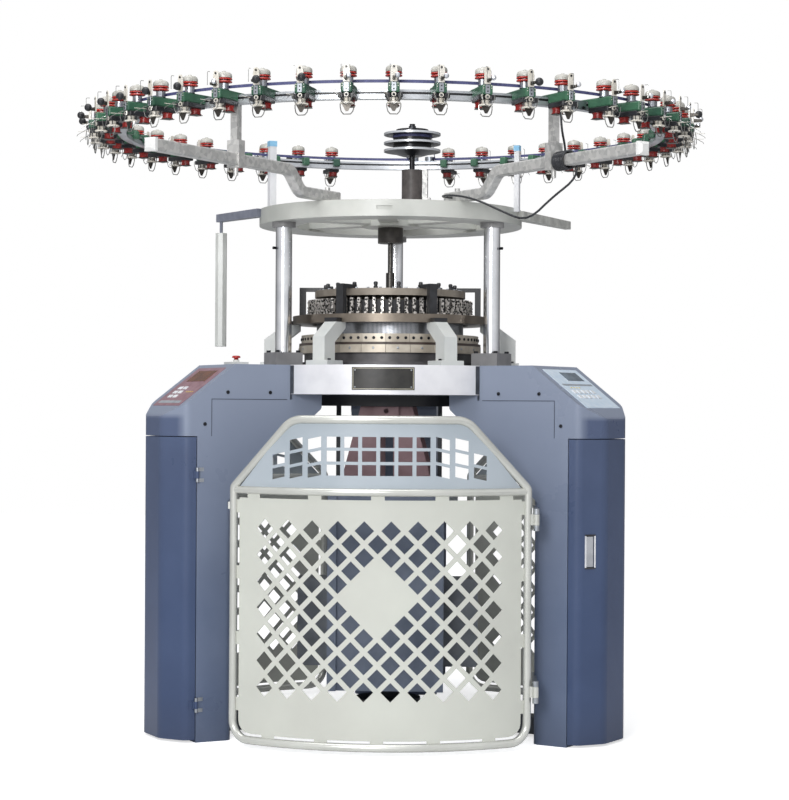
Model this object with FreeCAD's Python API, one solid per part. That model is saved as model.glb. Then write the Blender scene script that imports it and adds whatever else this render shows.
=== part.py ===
import FreeCAD, Part
import math
import os

# Circular knitting machine. Origin on the machine axis at floor level, +Z up, millimetres.
# The front gate faces -Y. Azimuths are degrees about +Z from +X.
# Every leg, gate and arm is drawn along +X (u outward, v sideways) and then turned to its azimuth.

os.makedirs("parts", exist_ok=True)
V = FreeCAD.Vector
UP = V(0, 0, 1)

# ---------------------------------------------------------------- driving dimensions
front_azimuth = 270.0
leg_azimuths = [210.0, 330.0, 90.0]
gate_azimuths = [270.0, 30.0, 150.0]

# heights that the rest stands on
bed_bottom = 1200.0
bed_height = 103.0
bed_top = bed_bottom + bed_height
column_length = 515.0
crown_bottom = bed_top + column_length
crown_height = 58.0
crown_top = crown_bottom + crown_height

# legs
leg_half_width = 165.0
leg_inner = 690.0
leg_outer = 828.0
leg_wall = 12.0
arm_tip = 356.0
arm_tip_low = bed_bottom - 50.0
arm_knee = arm_tip + 37.0
arm_knee_height = arm_tip_low - 32.0
haunch_height = arm_knee_height - 268.0
knee_fillet = 15.0
upright_fillet = 30.0
cover_overlap = 19.0
cover_seam = bed_bottom - cover_overlap
cover_skirt = 128.0
cover_step_radius = leg_outer - 53.0
cover_step_height = cover_seam - cover_skirt
cover_inner = 470.0
cavity_floor = 60.0
cavity_ceiling = cover_step_height - 53.0
plate_half_width = 120.0
plate_low = 150.0
plate_high = 900.0
plate_thickness = 4.0
module_count = 4
module_low = 190.0
module_pitch = 170.0
module_height = 95.0
module_depth = 60.0
motor_radius = 55.0
motor_low = 420.0
motor_high = 760.0
motor_shaft_radius = 14.0
motor_shaft_length = 80.0

# leg doors and top covers
sheet = 2.5
door_start = leg_outer + 3.0
bend_radius_out = leg_outer + 40.0
nose_radius_out = 928.0
nose_half_width = 75.0
bend_fillet = 34.0
nose_fillet = 60.0
door_bottom = 10.0
door_gap = 3.0
door_top = cover_step_height - door_gap
door_rim = 14.0
door_hinge_u = leg_outer + 1.5
door_hinge_v = leg_half_width + 7.0
door_knuckle_radius = 6.0
door_pin_radius = 3.0
door_knuckle_height = 50.0
door_leaf = 26.0
door_leaf_thickness = 2.0
door_knuckle_gap = 0.3
door_hinge_heights = [130.0, door_top - 130.0]
cover_top_edge = 688.0
cover_slope_angle = math.radians(37.2)
cover_slope = math.tan(cover_slope_angle)
slope_cosine = math.cos(cover_slope_angle)
handle_centre_height = 668.0
handle_height = 111.0
handle_width = 35.0
handle_offset = 30.0
handle_tail_clearance = 4.0

# control labels and emergency stop
label_half_width = 125.0
label_start = cover_top_edge + 18.0
label_end = label_start + 174.0
label_thickness = 1.5
estop_u = 640.0
estop_v = 60.0
estop_base_side = 66.0
estop_base_height = 9.0
estop_collar_radius = 11.0
estop_stem_radius = 8.0
estop_head_radius = 15.0
estop_travel = 6.0

# bed, columns and crown
bed_inner = 300.0
bed_outer = 500.0
fascia_outer = bed_outer + 5.0
fascia_gap = 1.5
fascia_half_angle = 41.0
nameplate_half_angle = 12.35
nameplate_height = 79.0
nameplate_centre = bed_top - 48.0
nameplate_thickness = 2.0
column_orbit = 431.0
column_radius = 29.5
column_foot_side = 105.0
column_foot_height = 47.0
column_collar_radius = 42.5
column_collar_height = 18.0
column_knob_radius = 5.0
column_knob_length = 16.0
column_knob_drop = 93.0
crown_outer = 483.0
crown_inner = 345.0
crown_hub_radius = 105.0
crown_boss_radius = 46.0
crown_spoke_width = 70.0
crown_spoke_inset = 8.0
spoke_count = 6
slot_depth = 6.0
slot_height = 14.0
slot_lift = 22.0
slot_half_angle = 3.2

# knitting head
head_yoke_count = 6
yoke_width = 50.0
yoke_foot_width = 91.0
yoke_foot_inner = 378.0
yoke_foot_outer = 475.0
yoke_foot_height = 17.0
yoke_outer = 463.0
yoke_inner = 398.0
yoke_shoulder = bed_top + 100.0
yoke_head_outer = 390.0
yoke_head_inner = 332.0
guide_ring_bottom = bed_top + 154.0
guide_ring_height = 30.0
guide_ring_top = guide_ring_bottom + guide_ring_height
guide_ring_outer = 358.0
guide_ring_inner = 288.0
yoke_cap_height = 15.0
cam_ring_outer = 352.0
cam_ring_inner = 272.0
cam_ring_top = bed_top + 47.0
cam_ring_step = bed_inner + 15.0
cam_ring_lip = 14.0
cam_box_outer = 335.0
cam_box_top = cam_ring_top + 67.0
cam_box_groove = cam_ring_top + 28.0
cam_box_step = 9.0
cam_box_count = 24
cam_box_gap_angle = 0.24
needle_cylinder_outer = 270.0
needle_cylinder_inner = 232.0
needle_cylinder_top = bed_top + 195.0
gear_outer = bed_inner - 0.05
gear_inner = 205.0
gear_drop = 8.0
cylinder_drop = 2.0
dial_radius = 262.0
dial_bottom = needle_cylinder_top + 14.0
dial_top = dial_bottom + 28.0
dial_hollow_radius = 120.0
dial_hollow_depth = 12.0
dial_plate_radius = 277.0
dial_plate_hole = 60.0
dial_plate_bottom = dial_top + 16.0
dial_plate_top = dial_plate_bottom + 25.0
bracket_post_orbit = 323.0
bracket_post_width = 30.0
bracket_post_depth = 22.0
bracket_arm_height = 14.0
bracket_arm_reach = 32.0
guide_count = 66
guide_width = 11.0
guide_inner = 291.0
guide_outer = 303.0
guide_top = guide_ring_top + 59.0
guide_foot_outer = 312.0
guide_foot_height = 8.0
shaft_low_radius = 16.0
shaft_high_radius = 9.0
shaft_step = dial_plate_top + 70.0
shaft_seat = 20.0
hub_bottom = crown_bottom - 58.0

# feeder ring and its arms
ring_tube = 30.0
ring_inner = 970.0
ring_outer = ring_inner + ring_tube
ring_arm_azimuths = [241.5, 305.5, 84.4]
ring_arm_half = 19.0
ring_arm_corner = 6.0
arm_foot_start = 374.0
arm_rise_middle = 640.0
arm_rise_run = 70.0
arm_level_height = crown_top + 89.0
arm_tip_out = 1430.0
arm_cap_length = 22.0
arm_cap_wall = 2.0
arm_cap_chamfer = 9.0
arm_bend_radius = 52.0
foot_bolt_radius = 9.0
foot_bolt_orbit = 430.0
foot_bolt_height = 12.0
post_half = 13.0
post_radius = 985.0
post_length = 161.0
ring_bottom = arm_level_height + ring_arm_half + post_length
ring_top = ring_bottom + ring_tube
clamp_half_length = 17.0
clamp_low = arm_level_height - 26.0
clamp_high = arm_level_height + 63.0
clamp_wall = 5.0
clamp_eye_radius = 8.0
eye_drop = 26.0
joint_plate_azimuths = [309.26, 197.42]
joint_plate_half = 60.0
joint_plate_thickness = 4.0

# feeders, in three runs that leave room for the ring joints and for the belt at the back
feeder_pitch = 7.83
feeder_run_starts = [314.2, 304.32, 192.3]
feeder_run_counts = [17, 14, 12]
feeder_run_directions = [1, -1, -1]
feeder_tail = ring_inner - 25.0
feeder_half = 18.5
feeder_low = ring_bottom + 6.0
feeder_high = ring_top + 9.0
feeder_tail_draft = 3.0
feeder_tail_half = 12.5
feeder_ring_clearance = 1.0
feeder_base_half = 29.0
feeder_base_taper = 8.0
feeder_base_thickness = 16.0
feeder_base_low = feeder_low - feeder_base_thickness
feeder_base_inner = ring_outer + 7.0
feeder_base_outer = feeder_base_inner + 93.0
feeder_front = feeder_base_outer + 5.0
store_ring_centre = feeder_base_outer - 17.0
store_ring_radius = 22.0
store_ring_height = 16.0
drum_centre = feeder_base_inner + 24.0
drum_radius = 19.0
drum_height = 19.0
wheel_centre = ring_outer + 59.0
wheel_radius = 17.5
disc_radius = 27.5
disc_low = feeder_high + 22.0
disc_high = disc_low + 16.0
cap_radius = 26.0
cap_tip_radius = 9.0
cap_width_share = 0.8
cap_high = disc_high + 23.0
bracket_half = 11.5
bracket_inner = feeder_front - 7.0
bracket_high = cap_high - 5.0
sensor_outer = feeder_front + 42.0
sensor_half = 8.0
sensor_low = feeder_high + 3.0
sensor_high = sensor_low + 16.0
belt_radius = ring_outer + 40.0
belt_low = feeder_high + 6.0
belt_high = belt_low + 10.0
belt_thickness = 1.2
guide_plate_thickness = 2.0
guide_plate_back = 20.0
guide_plate_front = 16.0
guide_plate_back_half = 14.0
guide_plate_front_half = 20.0

# drive on the crown
pulley_azimuth = 78.4
pulley_orbit = 331.5
pulley_flange_half = 62.0
pulley_flange_height = 10.0
pulley_housing_radius = 39.5
pulley_housing_top = crown_top + 192.0
spindle_radius = 10.5
spindle_bore = 10.55
pulley_radius = 109.0
pulley_groove_radius = 73.0
pulley_rim = 8.0
pulley_levels = [ring_bottom - 4.0, ring_bottom + 25.0, belt_high + 1.0 + pulley_rim / 2]
pulley_cone_height = 16.0
pulley_cone_radius = 40.0
pulley_cone_top = 92.0
pulley_lid_radius = 62.0
pulley_lid_height = 18.0
pulley_nut_radius = 14.0
pulley_top = ring_bottom + 100.0
spindle_depth = 60.0
tensioner_radius = 20.0
tensioner_left = 49.0
tensioner_right = 116.0
tensioner_forward = 1018.0
strap_thickness = 6.0
strap_margin = 29.0
belt_play = 0.5

# lamp and capped posts
left_post_azimuth = 205.0
left_post_orbit = 463.0
left_post_top = crown_top + 236.0
right_post_azimuth = 340.0
left_post_half = 12.5
right_post_half = 9.0
right_post_orbit = crown_outer + right_post_half
foot_plate_height = 14.0
right_post_foot = crown_top - foot_plate_height
right_post_top = crown_top + 224.0
post_cap_height = 20.0
post_cap_wall = 1.5
lamp_arm_root = V(-465.0, -121.0, 0)
lamp_arm_tip = V(-652.0, 118.0, 0)
lamp_arm_root_half = 20.0
lamp_arm_tip_half = 12.0
second_arm_root = V(465.0, -121.0, 0)
second_arm_tip = V(664.0, 290.0, 0)
second_arm_root_half = 24.0
second_arm_tip_half = 12.0
lamp_arm_low = crown_top - 29.0
lamp_arm_high = crown_top
second_arm_low = crown_bottom + 20.0
second_arm_high = crown_top - 8.0
lamp_arm_share = 0.94
lamp_half = 22.0
lamp_low = 1380.0
lamp_high = crown_top - 71.0
lamp_rod_radius = 6.0

# yarn-feed cable that hangs from a feeder, winds round the right arm and goes to the arm's foot
cable_radius = 3.75
cable_arm_azimuth = ring_arm_azimuths[1]
coil_turns = 7
coil_pitch = 8.6
coil_radius = 28.5
coil_start = post_radius + 25.0

# gates
gate_radius = 800.0
gate_tube_radius = 14.0
gate_low = 30.0
gate_corner = 65.0
gate_mid = 874.0
gate_shoulder = 884.0
gate_top = 1114.0
gate_half_width = 498.0
gate_top_half_width = 292.0
gate_top_corner_run = 40.0
gate_top_fillet = 88.0
gate_shoulder_fillet = 20.0
gate_sheet = 2.0
lower_sheet_half = 477.0
lower_sheet_low = 52.0
lower_sheet_high = 848.0
lower_sheet_corner = 42.0
tab_width = 45.0
side_tab_heights = [149.0, 372.0, 595.0, 819.0]
top_tab_sides = [-425.0, -212.0, 0.0, 212.0, 425.0]
bottom_tab_sides = [-370.0, -187.0, 0.0, 187.0, 370.0]
tab_root = 60.0
diamond_diagonal = 65.0
diamond_pitch = 88.9
diamond_rows = 7
diamond_columns = 10
diamond_lowest = 213.5
blank_centre_height = 524.5
blank_reach = 1.6
window_width = 47.0
window_height = 36.0
window_pitch = 60.0
window_outer_pitch = 66.0
window_even_columns = 2.5
window_drop_share = 0.3
window_low = 946.8
window_rise = 46.4
window_lean = 0.21
gate_pin_forward = 644.0
gate_pin_side = 527.0
gate_pin_radius = 5.0
gate_pin_bore = 5.05
gate_knuckle_radius = 10.5
gate_hinge_heights = [200.0, 780.0]
gate_hinge_height = 75.0
gate_knuckle_gap = 0.5
latch_height = 820.0
latch_length = 44.0
latch_depth = 20.0
latch_half = 12.0

# take-down frame under the needle cylinder
yoke_ring_low = 1160.0
yoke_block_half = 45.0
yoke_block_forward = 262.0
yoke_block_low = 1118.0
yoke_hole_radius = 9.0
wing_top_half = 92.0
wing_low_half = 172.0
wing_low = 850.0
wing_thickness = 12.0
wing_forward = 226.0
wing_slot_half = 25.0
panel_half = 176.0
panel_low = 140.0
bar_offset = 192.0
bar_half = 16.0
side_plate_outer = 330.0
side_plate_low = 150.0
side_plate_high = 600.0
roller_half_length = 168.0
draw_roller_radius = 34.0
draw_roller_height = 560.0
draw_roller_spread = 35.0
cloth_roller_radius = 40.0
cloth_roller_height = 300.0
roller_pin_radius = 12.0
bore_clearance = 0.05
end_plate_inner = 172.0
end_plate_outer = 180.0
end_plate_forward = 212.0

# floor frame
floor_hub_radius = 120.0
floor_hub_top = 90.0
floor_beam_half = 40.0
floor_beam_low = 12.0
floor_beam_top = 72.0
pivot_radius = 40.0
pivot_top = 118.0


# ---------------------------------------------------------------- helpers
def turned(shape, azimuth):
    copy = shape.copy()
    copy.rotate(V(0, 0, 0), UP, azimuth)
    return copy


def all_round(shape, azimuths):
    return [turned(shape, azimuth) for azimuth in azimuths]


def moved(shape, x, y, z):
    copy = shape.copy()
    copy.translate(V(x, y, z))
    return copy


def block(u0, u1, v0, v1, z0, z1):
    return Part.makeBox(u1 - u0, v1 - v0, z1 - z0, V(u0, v0, z0))


def rod(radius, x, y, z0, z1):
    return Part.makeCylinder(radius, z1 - z0, V(x, y, z0), UP)


def annulus(inner, outer, z0, z1):
    return rod(outer, 0, 0, z0, z1).cut(rod(inner, 0, 0, z0 - 1, z1 + 1))


def sector(inner, outer, z0, z1, half_angle):
    wedge = Part.makeCylinder(outer, z1 - z0, V(0, 0, z0), UP, 2 * half_angle)
    wedge.rotate(V(0, 0, 0), UP, -half_angle)
    return wedge.cut(rod(inner, 0, 0, z0 - 1, z1 + 1))


def fused(shapes):
    result = shapes[0]
    if len(shapes) > 1:
        result = shapes[0].fuse(shapes[1:])
    return result.removeSplitter()


def side_profile(points, half_width):
    corners = [V(u, -half_width, z) for u, z in points]
    face = Part.Face(Part.makePolygon(corners + [corners[0]]))
    return face.extrude(V(0, 2 * half_width, 0))


def plan_profile(points, z0, z1):
    corners = [V(x, y, z0) for x, y in points]
    face = Part.Face(Part.makePolygon(corners + [corners[0]]))
    return face.extrude(V(0, 0, z1 - z0))


def regular_prism(sides, radius, x, y, z0, z1):
    step = 2 * math.pi / sides
    corners = []
    for index in range(sides):
        angle = step * (index + 0.5)
        corners.append((x + radius * math.cos(angle), y + radius * math.sin(angle)))
    return plan_profile(corners, z0, z1)


def rounded_path(points, radii):
    """Straight runs joined by tangent arcs; radii holds one radius for each inner point."""
    edges = []
    start = points[0]
    for index in range(1, len(points) - 1):
        corner = points[index]
        back = (points[index - 1] - corner).normalize()
        ahead = (points[index + 1] - corner).normalize()
        turn = math.pi - back.getAngle(ahead)
        radius = radii[index - 1]
        trim = radius * math.tan(turn / 2)
        arc_start = corner + back * trim
        arc_end = corner + ahead * trim
        inward = (back + ahead).normalize()
        middle = corner + inward * (radius / math.cos(turn / 2) - radius)
        edges.append(Part.LineSegment(start, arc_start).toShape())
        edges.append(Part.Arc(arc_start, middle, arc_end).toShape())
        start = arc_end
    edges.append(Part.LineSegment(start, points[-1]).toShape())
    return edges


def round_tube(edges, radius):
    """Round bar along straight and arc edges, as cylinders and torus segments."""
    pieces = []
    for edge in edges:
        start = edge.valueAt(edge.FirstParameter)
        heading = edge.tangentAt(edge.FirstParameter)
        if isinstance(edge.Curve, Part.Line):
            pieces.append(Part.makeCylinder(radius, edge.Length, start, heading))
        else:
            section = Part.Face(Part.Wire([Part.Circle(start, heading, radius).toShape()]))
            turn = math.degrees(edge.Length / edge.Curve.Radius)
            pieces.append(section.revolve(edge.Curve.Center, edge.Curve.Axis, turn))
    return pieces[0].fuse(pieces[1:]) if len(pieces) > 1 else pieces[0]


def save(name, shapes):
    solids = []
    for shape in shapes:
        for solid in shape.Solids:
            if not solid.isValid():
                print("INVALID", name)
            solids.append(solid)
    result = solids[0] if len(solids) == 1 else Part.makeCompound(solids)
    result.exportStep("parts/" + name + ".step")
    volume = sum(solid.Volume for solid in solids)
    print(name, len(solids), "solids", round(volume / 1000.0, 1), "cm3")
    return solids


def nose_outline(inset):
    """Plan outline of a leg's outer end: square root, bend and blunt nose."""
    side = leg_half_width - inset
    nose = nose_radius_out - inset
    facet = nose_half_width - 0.4 * inset
    bend = bend_radius_out
    upper = [V(0, side, 0), V(bend, side, 0), V(nose, facet, 0), V(nose, 0, 0)]
    half = rounded_path(upper, [bend_fillet - inset, nose_fillet - inset])
    lower = [V(nose, 0, 0), V(nose, -facet, 0), V(bend, -side, 0), V(0, -side, 0)]
    other = rounded_path(lower, [nose_fillet - inset, bend_fillet - inset])
    closing = Part.LineSegment(V(0, -side, 0), V(0, side, 0)).toShape()
    return Part.Wire(half + other + [closing])


def nose_solid(inset, z0, z1):
    face = Part.Face(nose_outline(inset))
    return moved(face.extrude(V(0, 0, z1 - z0)), 0, 0, z0)


# ---------------------------------------------------------------- legs
# Cast leg: hollow upright with an open outer end, and an arm that carries the bed.
leg_points = [
    (leg_inner, 0),
    (leg_outer, 0),
    (leg_outer, cover_step_height),
    (cover_step_radius, cover_step_height),
    (cover_step_radius, cover_seam),
    (cover_inner, cover_seam),
    (cover_inner, bed_bottom),
    (arm_tip, bed_bottom),
    (arm_tip, arm_tip_low),
    (arm_knee, arm_knee_height),
    (leg_inner, haunch_height),
]
leg = side_profile(leg_points, leg_half_width)
cavity_half = leg_half_width - leg_wall
cavity = block(
    leg_inner + leg_wall, leg_outer + 1, -cavity_half, cavity_half, cavity_floor, cavity_ceiling)
leg = leg.cut(cavity)
knee_edges = []
for edge in leg.Edges:
    middle = edge.BoundBox.Center
    if edge.BoundBox.YLength > 2 * leg_half_width - 1:
        if abs(middle.x - arm_knee) < 1 and abs(middle.z - arm_knee_height) < 1:
            knee_edges.append(edge)
        if abs(middle.x - arm_tip) < 1 and abs(middle.z - arm_tip_low) < 1:
            knee_edges.append(edge)
leg = leg.makeFillet(knee_fillet, knee_edges)
upright_edges = []
for edge in leg.Edges:
    middle = edge.BoundBox.Center
    if abs(middle.x - leg_inner) < 1 and abs(abs(middle.y) - leg_half_width) < 1:
        if edge.BoundBox.ZLength > haunch_height / 2:
            upright_edges.append(edge)
leg = leg.makeFillet(upright_fillet, upright_edges)
save("legs", all_round(leg, leg_azimuths))

# Equipment plate inside each upright: control modules at the front, the drive motor at the back.
plate_face = leg_inner + leg_wall
plate_front = plate_face + plate_thickness
back_plate = block(plate_face, plate_front, -plate_half_width, plate_half_width, plate_low, plate_high)
modules = [back_plate]
module_half = plate_half_width - 25
for level in range(module_count):
    low = module_low + level * module_pitch
    modules.append(block(plate_front, plate_front + module_depth, -module_half, module_half, low, low + module_height))
modules = fused(modules)
motor_centre = plate_front + motor_radius - 4
motor_body = rod(motor_radius, motor_centre, 0, motor_low, motor_high)
motor_shaft = rod(motor_shaft_radius, motor_centre, 0, motor_high, motor_high + motor_shaft_length)
motor = fused([back_plate, motor_body, motor_shaft])
save("leg_equipment", all_round(modules, leg_azimuths[:2]) + [turned(motor, leg_azimuths[2])])


# ---------------------------------------------------------------- top covers
def cover_solid(inset, floor_drop):
    slope_foot = bed_top - (nose_radius_out + 40 - cover_top_edge) * cover_slope
    outline = [
        (cover_inner - 10, cover_seam - floor_drop),
        (cover_step_radius + inset, cover_seam - floor_drop),
        (cover_step_radius + inset, cover_step_height - floor_drop),
        (nose_radius_out + 40, cover_step_height - floor_drop),
        (nose_radius_out + 40, slope_foot - inset / slope_cosine),
        (cover_top_edge - inset * 0.33, bed_top - inset),
        (cover_inner - 10, bed_top - inset),
    ]
    body = side_profile(outline, leg_half_width + 5)
    return body.common(nose_solid(inset, cover_step_height - floor_drop - 1, bed_top + 1))


leg_block = side_profile(leg_points, leg_half_width + 1)
fascia_space = rod(fascia_outer + fascia_gap, 0, 0, bed_bottom - 60, bed_top + 20)
cover = cover_solid(0, 0).cut(cover_solid(sheet, 3 * sheet))
cover_floor = nose_solid(sheet, cover_step_height, cover_step_height + sheet)
cover_floor = cover_floor.cut(block(-10, leg_outer, -300, 300, 0, 2000))
cover = cover.fuse(cover_floor).cut(leg_block).cut(fascia_space)
save("top_covers", all_round(cover, leg_azimuths))

# Membrane label sheet on each front slope.
label_low = bed_top - (label_end - cover_top_edge) * cover_slope
label_high = bed_top - (label_start - cover_top_edge) * cover_slope
label_lift = label_thickness / slope_cosine
label_points = [
    (label_start, label_high),
    (label_end, label_low),
    (label_end, label_low + label_lift),
    (label_start, label_high + label_lift),
]
label = side_profile(label_points, label_half_width)
save("label_panels", all_round(label, leg_azimuths[:2]))

# Emergency stop on the left cover: pale base with a collar, and a mushroom head that presses in.
half_base = estop_base_side / 2
collar_top = bed_top + estop_base_height + 8
estop_base = block(
    estop_u - half_base, estop_u + half_base, estop_v - half_base, estop_v + half_base,
    bed_top, bed_top + estop_base_height)
estop_base = estop_base.fuse(rod(estop_collar_radius, estop_u, estop_v, bed_top, collar_top))
stem_bottom = bed_top + 1
bore_bottom = stem_bottom - estop_travel / 6
estop_base = estop_base.cut(rod(estop_stem_radius + bore_clearance, estop_u, estop_v, bore_bottom, collar_top + 1))
save("estop_base", [turned(estop_base, leg_azimuths[0])])
head_low = collar_top + estop_travel
stem_low = stem_bottom + estop_travel
head_high = head_low + 9
estop_button = rod(estop_stem_radius, estop_u, estop_v, stem_low, head_low)
head = Part.makeCone(estop_head_radius, estop_head_radius - 3, head_high - head_low, V(estop_u, estop_v, head_low), UP)
estop_button = fused([estop_button, head])
save("estop_button", [turned(estop_button, leg_azimuths[0])])


# ---------------------------------------------------------------- leg doors
def swing(centre_u, centre_v, azimuth):
    angle = math.radians(azimuth)
    x = centre_u * math.cos(angle) - centre_v * math.sin(angle)
    y = centre_u * math.sin(angle) + centre_v * math.cos(angle)
    return round(x, 3), round(y, 3)


door = nose_solid(0, door_bottom, door_top)
door = door.cut(nose_solid(sheet, door_bottom + sheet, door_top - sheet))
door = door.cut(block(-10, door_start, -300, 300, 0, 2000))
rim_in = door_start + door_rim
door = door.cut(block(-10, rim_in + 1, -leg_half_width + 20, leg_half_width - 20, 0, 2000))

door_pins = []
for height in door_hinge_heights:
    low = height - door_knuckle_height / 2
    high = height + door_knuckle_height / 2
    lower_end = low + door_knuckle_height / 4
    upper_end = high - door_knuckle_height / 4
    pin = rod(door_pin_radius, door_hinge_u, door_hinge_v, low, high)
    for z0, z1 in [(low, lower_end), (upper_end, high)]:
        leaf = block(
            door_hinge_u - door_leaf, door_hinge_u, leg_half_width, leg_half_width + door_leaf_thickness, z0, z1)
        web = block(door_hinge_u - 8, door_hinge_u, leg_half_width, door_hinge_v, z0, z1)
        knuckle = rod(door_knuckle_radius, door_hinge_u, door_hinge_v, z0, z1)
        pin = pin.fuse([leaf, web, knuckle])
    leg_flush = block(0, leg_outer + 50, -leg_half_width, leg_half_width, 0, 1100)
    pin = pin.cut(leg_flush)
    door_pins.append(pin.removeSplitter())
    bore_low = lower_end + door_knuckle_gap
    bore_high = upper_end - door_knuckle_gap
    barrel = rod(door_knuckle_radius, door_hinge_u, door_hinge_v, bore_low, bore_high)
    web = block(door_hinge_u + 1.5, door_hinge_u + 12, leg_half_width - 1, door_hinge_v, bore_low, bore_high)
    leaf = block(
        door_hinge_u + 1.5, door_hinge_u + door_leaf, leg_half_width - 1,
        leg_half_width + door_leaf_thickness, bore_low, bore_high)
    wing = barrel.fuse([web, leaf])
    wing = wing.cut(block(-10, door_start, -300, leg_half_width, 0, 2000))
    wing = wing.cut(rod(door_pin_radius + bore_clearance, door_hinge_u, door_hinge_v, low - 1, high + 1))
    door = door.fuse(wing)
save("door_hinges", [turned(pin, azimuth) for azimuth in leg_azimuths for pin in door_pins])

# Recess for the flush pull handle in the facet beside the latch edge.
facet_start = V(bend_radius_out, -leg_half_width, 0)
facet_end = V(nose_radius_out, -nose_half_width, 0)
facet_run = (facet_end - facet_start).normalize()
facet_angle = math.degrees(math.atan2(facet_run.y, facet_run.x))


def on_facet(shape):
    """Place a shape drawn with x along the door facet and y into the door."""
    copy = shape.copy()
    copy.rotate(V(0, 0, 0), UP, facet_angle)
    copy.translate(facet_start)
    return copy


handle_mid = handle_offset + handle_width / 2
handle_low = handle_centre_height - handle_height / 2
handle_high = handle_centre_height + handle_height / 2
recess_depth = 14.0
recess_wall = 1.5
handle_x0 = handle_mid - handle_width / 2
handle_x1 = handle_mid + handle_width / 2
recess_box = block(handle_x0, handle_x1, -1, recess_depth, handle_low, handle_high)
recess_hole = block(
    handle_x0 + recess_wall, handle_x1 - recess_wall, -8, recess_depth - recess_wall,
    handle_low + recess_wall, handle_high - recess_wall)
door = door.fuse(on_facet(recess_box)).cut(on_facet(recess_hole)).removeSplitter()
door_names = ["leg_door_left", "leg_door_right", "leg_door_back"]
for name, azimuth in zip(door_names, leg_azimuths):
    save(name, [turned(door, azimuth)])

# Pull handle: a flat bar that tips out of its recess on a short upright pivot.
bar_x0 = handle_x0 + recess_wall + 1
bar_x1 = handle_x1 - recess_wall - handle_tail_clearance
handle_bar = block(bar_x0, bar_x1, 0.5, 4.5, handle_low + 4, handle_high - 4)
handle_pivot_x = bar_x1 - 4
handle_pivot_y = 6.5
handle_boss = rod(3, handle_pivot_x, handle_pivot_y, handle_low + 6, handle_high - 6)
handle = fused([handle_bar, handle_boss.cut(block(-50, 200, -5, 4.4, 0, 2000))])
handle_names = ["door_handle_left", "door_handle_right", "door_handle_back"]
for name, azimuth in zip(handle_names, leg_azimuths):
    save(name, [turned(on_facet(handle), azimuth)])
pivot_point = on_facet(Part.Vertex(handle_pivot_x, handle_pivot_y, handle_centre_height)).Point
for name, azimuth in zip(door_names, leg_azimuths):
    print("JOINT", name, "hinge", swing(door_hinge_u, door_hinge_v, azimuth))
    print("JOINT", name, "handle", swing(pivot_point.x, pivot_point.y, azimuth))

# ---------------------------------------------------------------- bed
save("bed_ring", [annulus(bed_inner, bed_outer, bed_bottom, bed_top)])
fascia = sector(bed_outer, fascia_outer, bed_bottom, bed_top, fascia_half_angle)
save("bed_fascias", all_round(fascia, gate_azimuths))
plate_low = nameplate_centre - nameplate_height / 2
plate_high = nameplate_centre + nameplate_height / 2
plate_outer = fascia_outer + nameplate_thickness
nameplate = sector(fascia_outer, plate_outer, plate_low, plate_high, nameplate_half_angle)
save("nameplate", [turned(nameplate, front_azimuth)])

# ---------------------------------------------------------------- knitting head
cam_ring = annulus(cam_ring_inner, cam_ring_step, bed_top, cam_ring_top)
cam_ring = cam_ring.fuse(annulus(cam_ring_step, cam_ring_outer, bed_top, bed_top + cam_ring_lip))
save("cam_ring", [cam_ring.removeSplitter()])
box_half_angle = (360.0 / cam_box_count - cam_box_gap_angle) / 2
cam_box = sector(cam_ring_inner + 0.5, cam_box_outer, cam_ring_top, cam_box_groove, box_half_angle)
upper_box = sector(
    cam_ring_inner + 0.5, cam_box_outer - cam_box_step, cam_box_groove, cam_box_top, box_half_angle)
cam_box = cam_box.fuse(upper_box).removeSplitter()
box_azimuths = [front_azimuth + (index + 0.5) * 360.0 / cam_box_count for index in range(cam_box_count)]
save("cam_boxes", all_round(cam_box, box_azimuths))

foot_top = bed_top + yoke_foot_height
yoke_points = [
    (yoke_inner, bed_top),
    (yoke_outer, bed_top),
    (yoke_outer, yoke_shoulder),
    (yoke_head_outer, guide_ring_bottom),
    (yoke_head_inner, guide_ring_bottom),
    (yoke_head_inner, guide_ring_bottom - 22),
    (yoke_inner, yoke_shoulder - 18),
]
yoke = side_profile(yoke_points, yoke_width / 2)
yoke_foot = block(
    yoke_foot_inner, yoke_foot_outer, -yoke_foot_width / 2, yoke_foot_width / 2, bed_top, foot_top)
yoke = yoke.fuse(yoke_foot)
yoke_azimuths = [front_azimuth - 30 + index * 60 for index in range(head_yoke_count)]
yoke_cap = block(
    guide_ring_outer + 2, yoke_head_outer, -yoke_width / 2 - 1, yoke_width / 2 + 1,
    guide_ring_bottom, guide_ring_bottom + yoke_cap_height)
guide_ring = annulus(guide_ring_inner, guide_ring_outer, guide_ring_bottom, guide_ring_top)
save("guide_ring", [guide_ring])
save("yokes", all_round(yoke.removeSplitter(), yoke_azimuths) + all_round(yoke_cap, yoke_azimuths))

post_in = bracket_post_orbit - bracket_post_depth / 2
post_out = bracket_post_orbit + bracket_post_depth / 2
post_top = dial_plate_top + bracket_arm_height
bracket_post = block(
    post_in, post_out, -bracket_post_width / 2, bracket_post_width / 2, guide_ring_top, post_top)
bracket_arm = block(
    dial_plate_radius - bracket_arm_reach, post_in, -bracket_post_width / 2, bracket_post_width / 2, dial_plate_top, post_top)
save("bracket_posts", all_round(fused([bracket_post, bracket_arm]), yoke_azimuths))
guide_tooth = fused([
    block(guide_inner, guide_foot_outer, -guide_width / 2, guide_width / 2, guide_ring_top,
          guide_ring_top + guide_foot_height),
    block(guide_inner, guide_outer, -guide_width / 2, guide_width / 2, guide_ring_top, guide_top),
])
guide_azimuths = [front_azimuth + (index + 0.5) * 360.0 / guide_count for index in range(guide_count)]
save("yarn_guides", all_round(guide_tooth, guide_azimuths))
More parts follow.
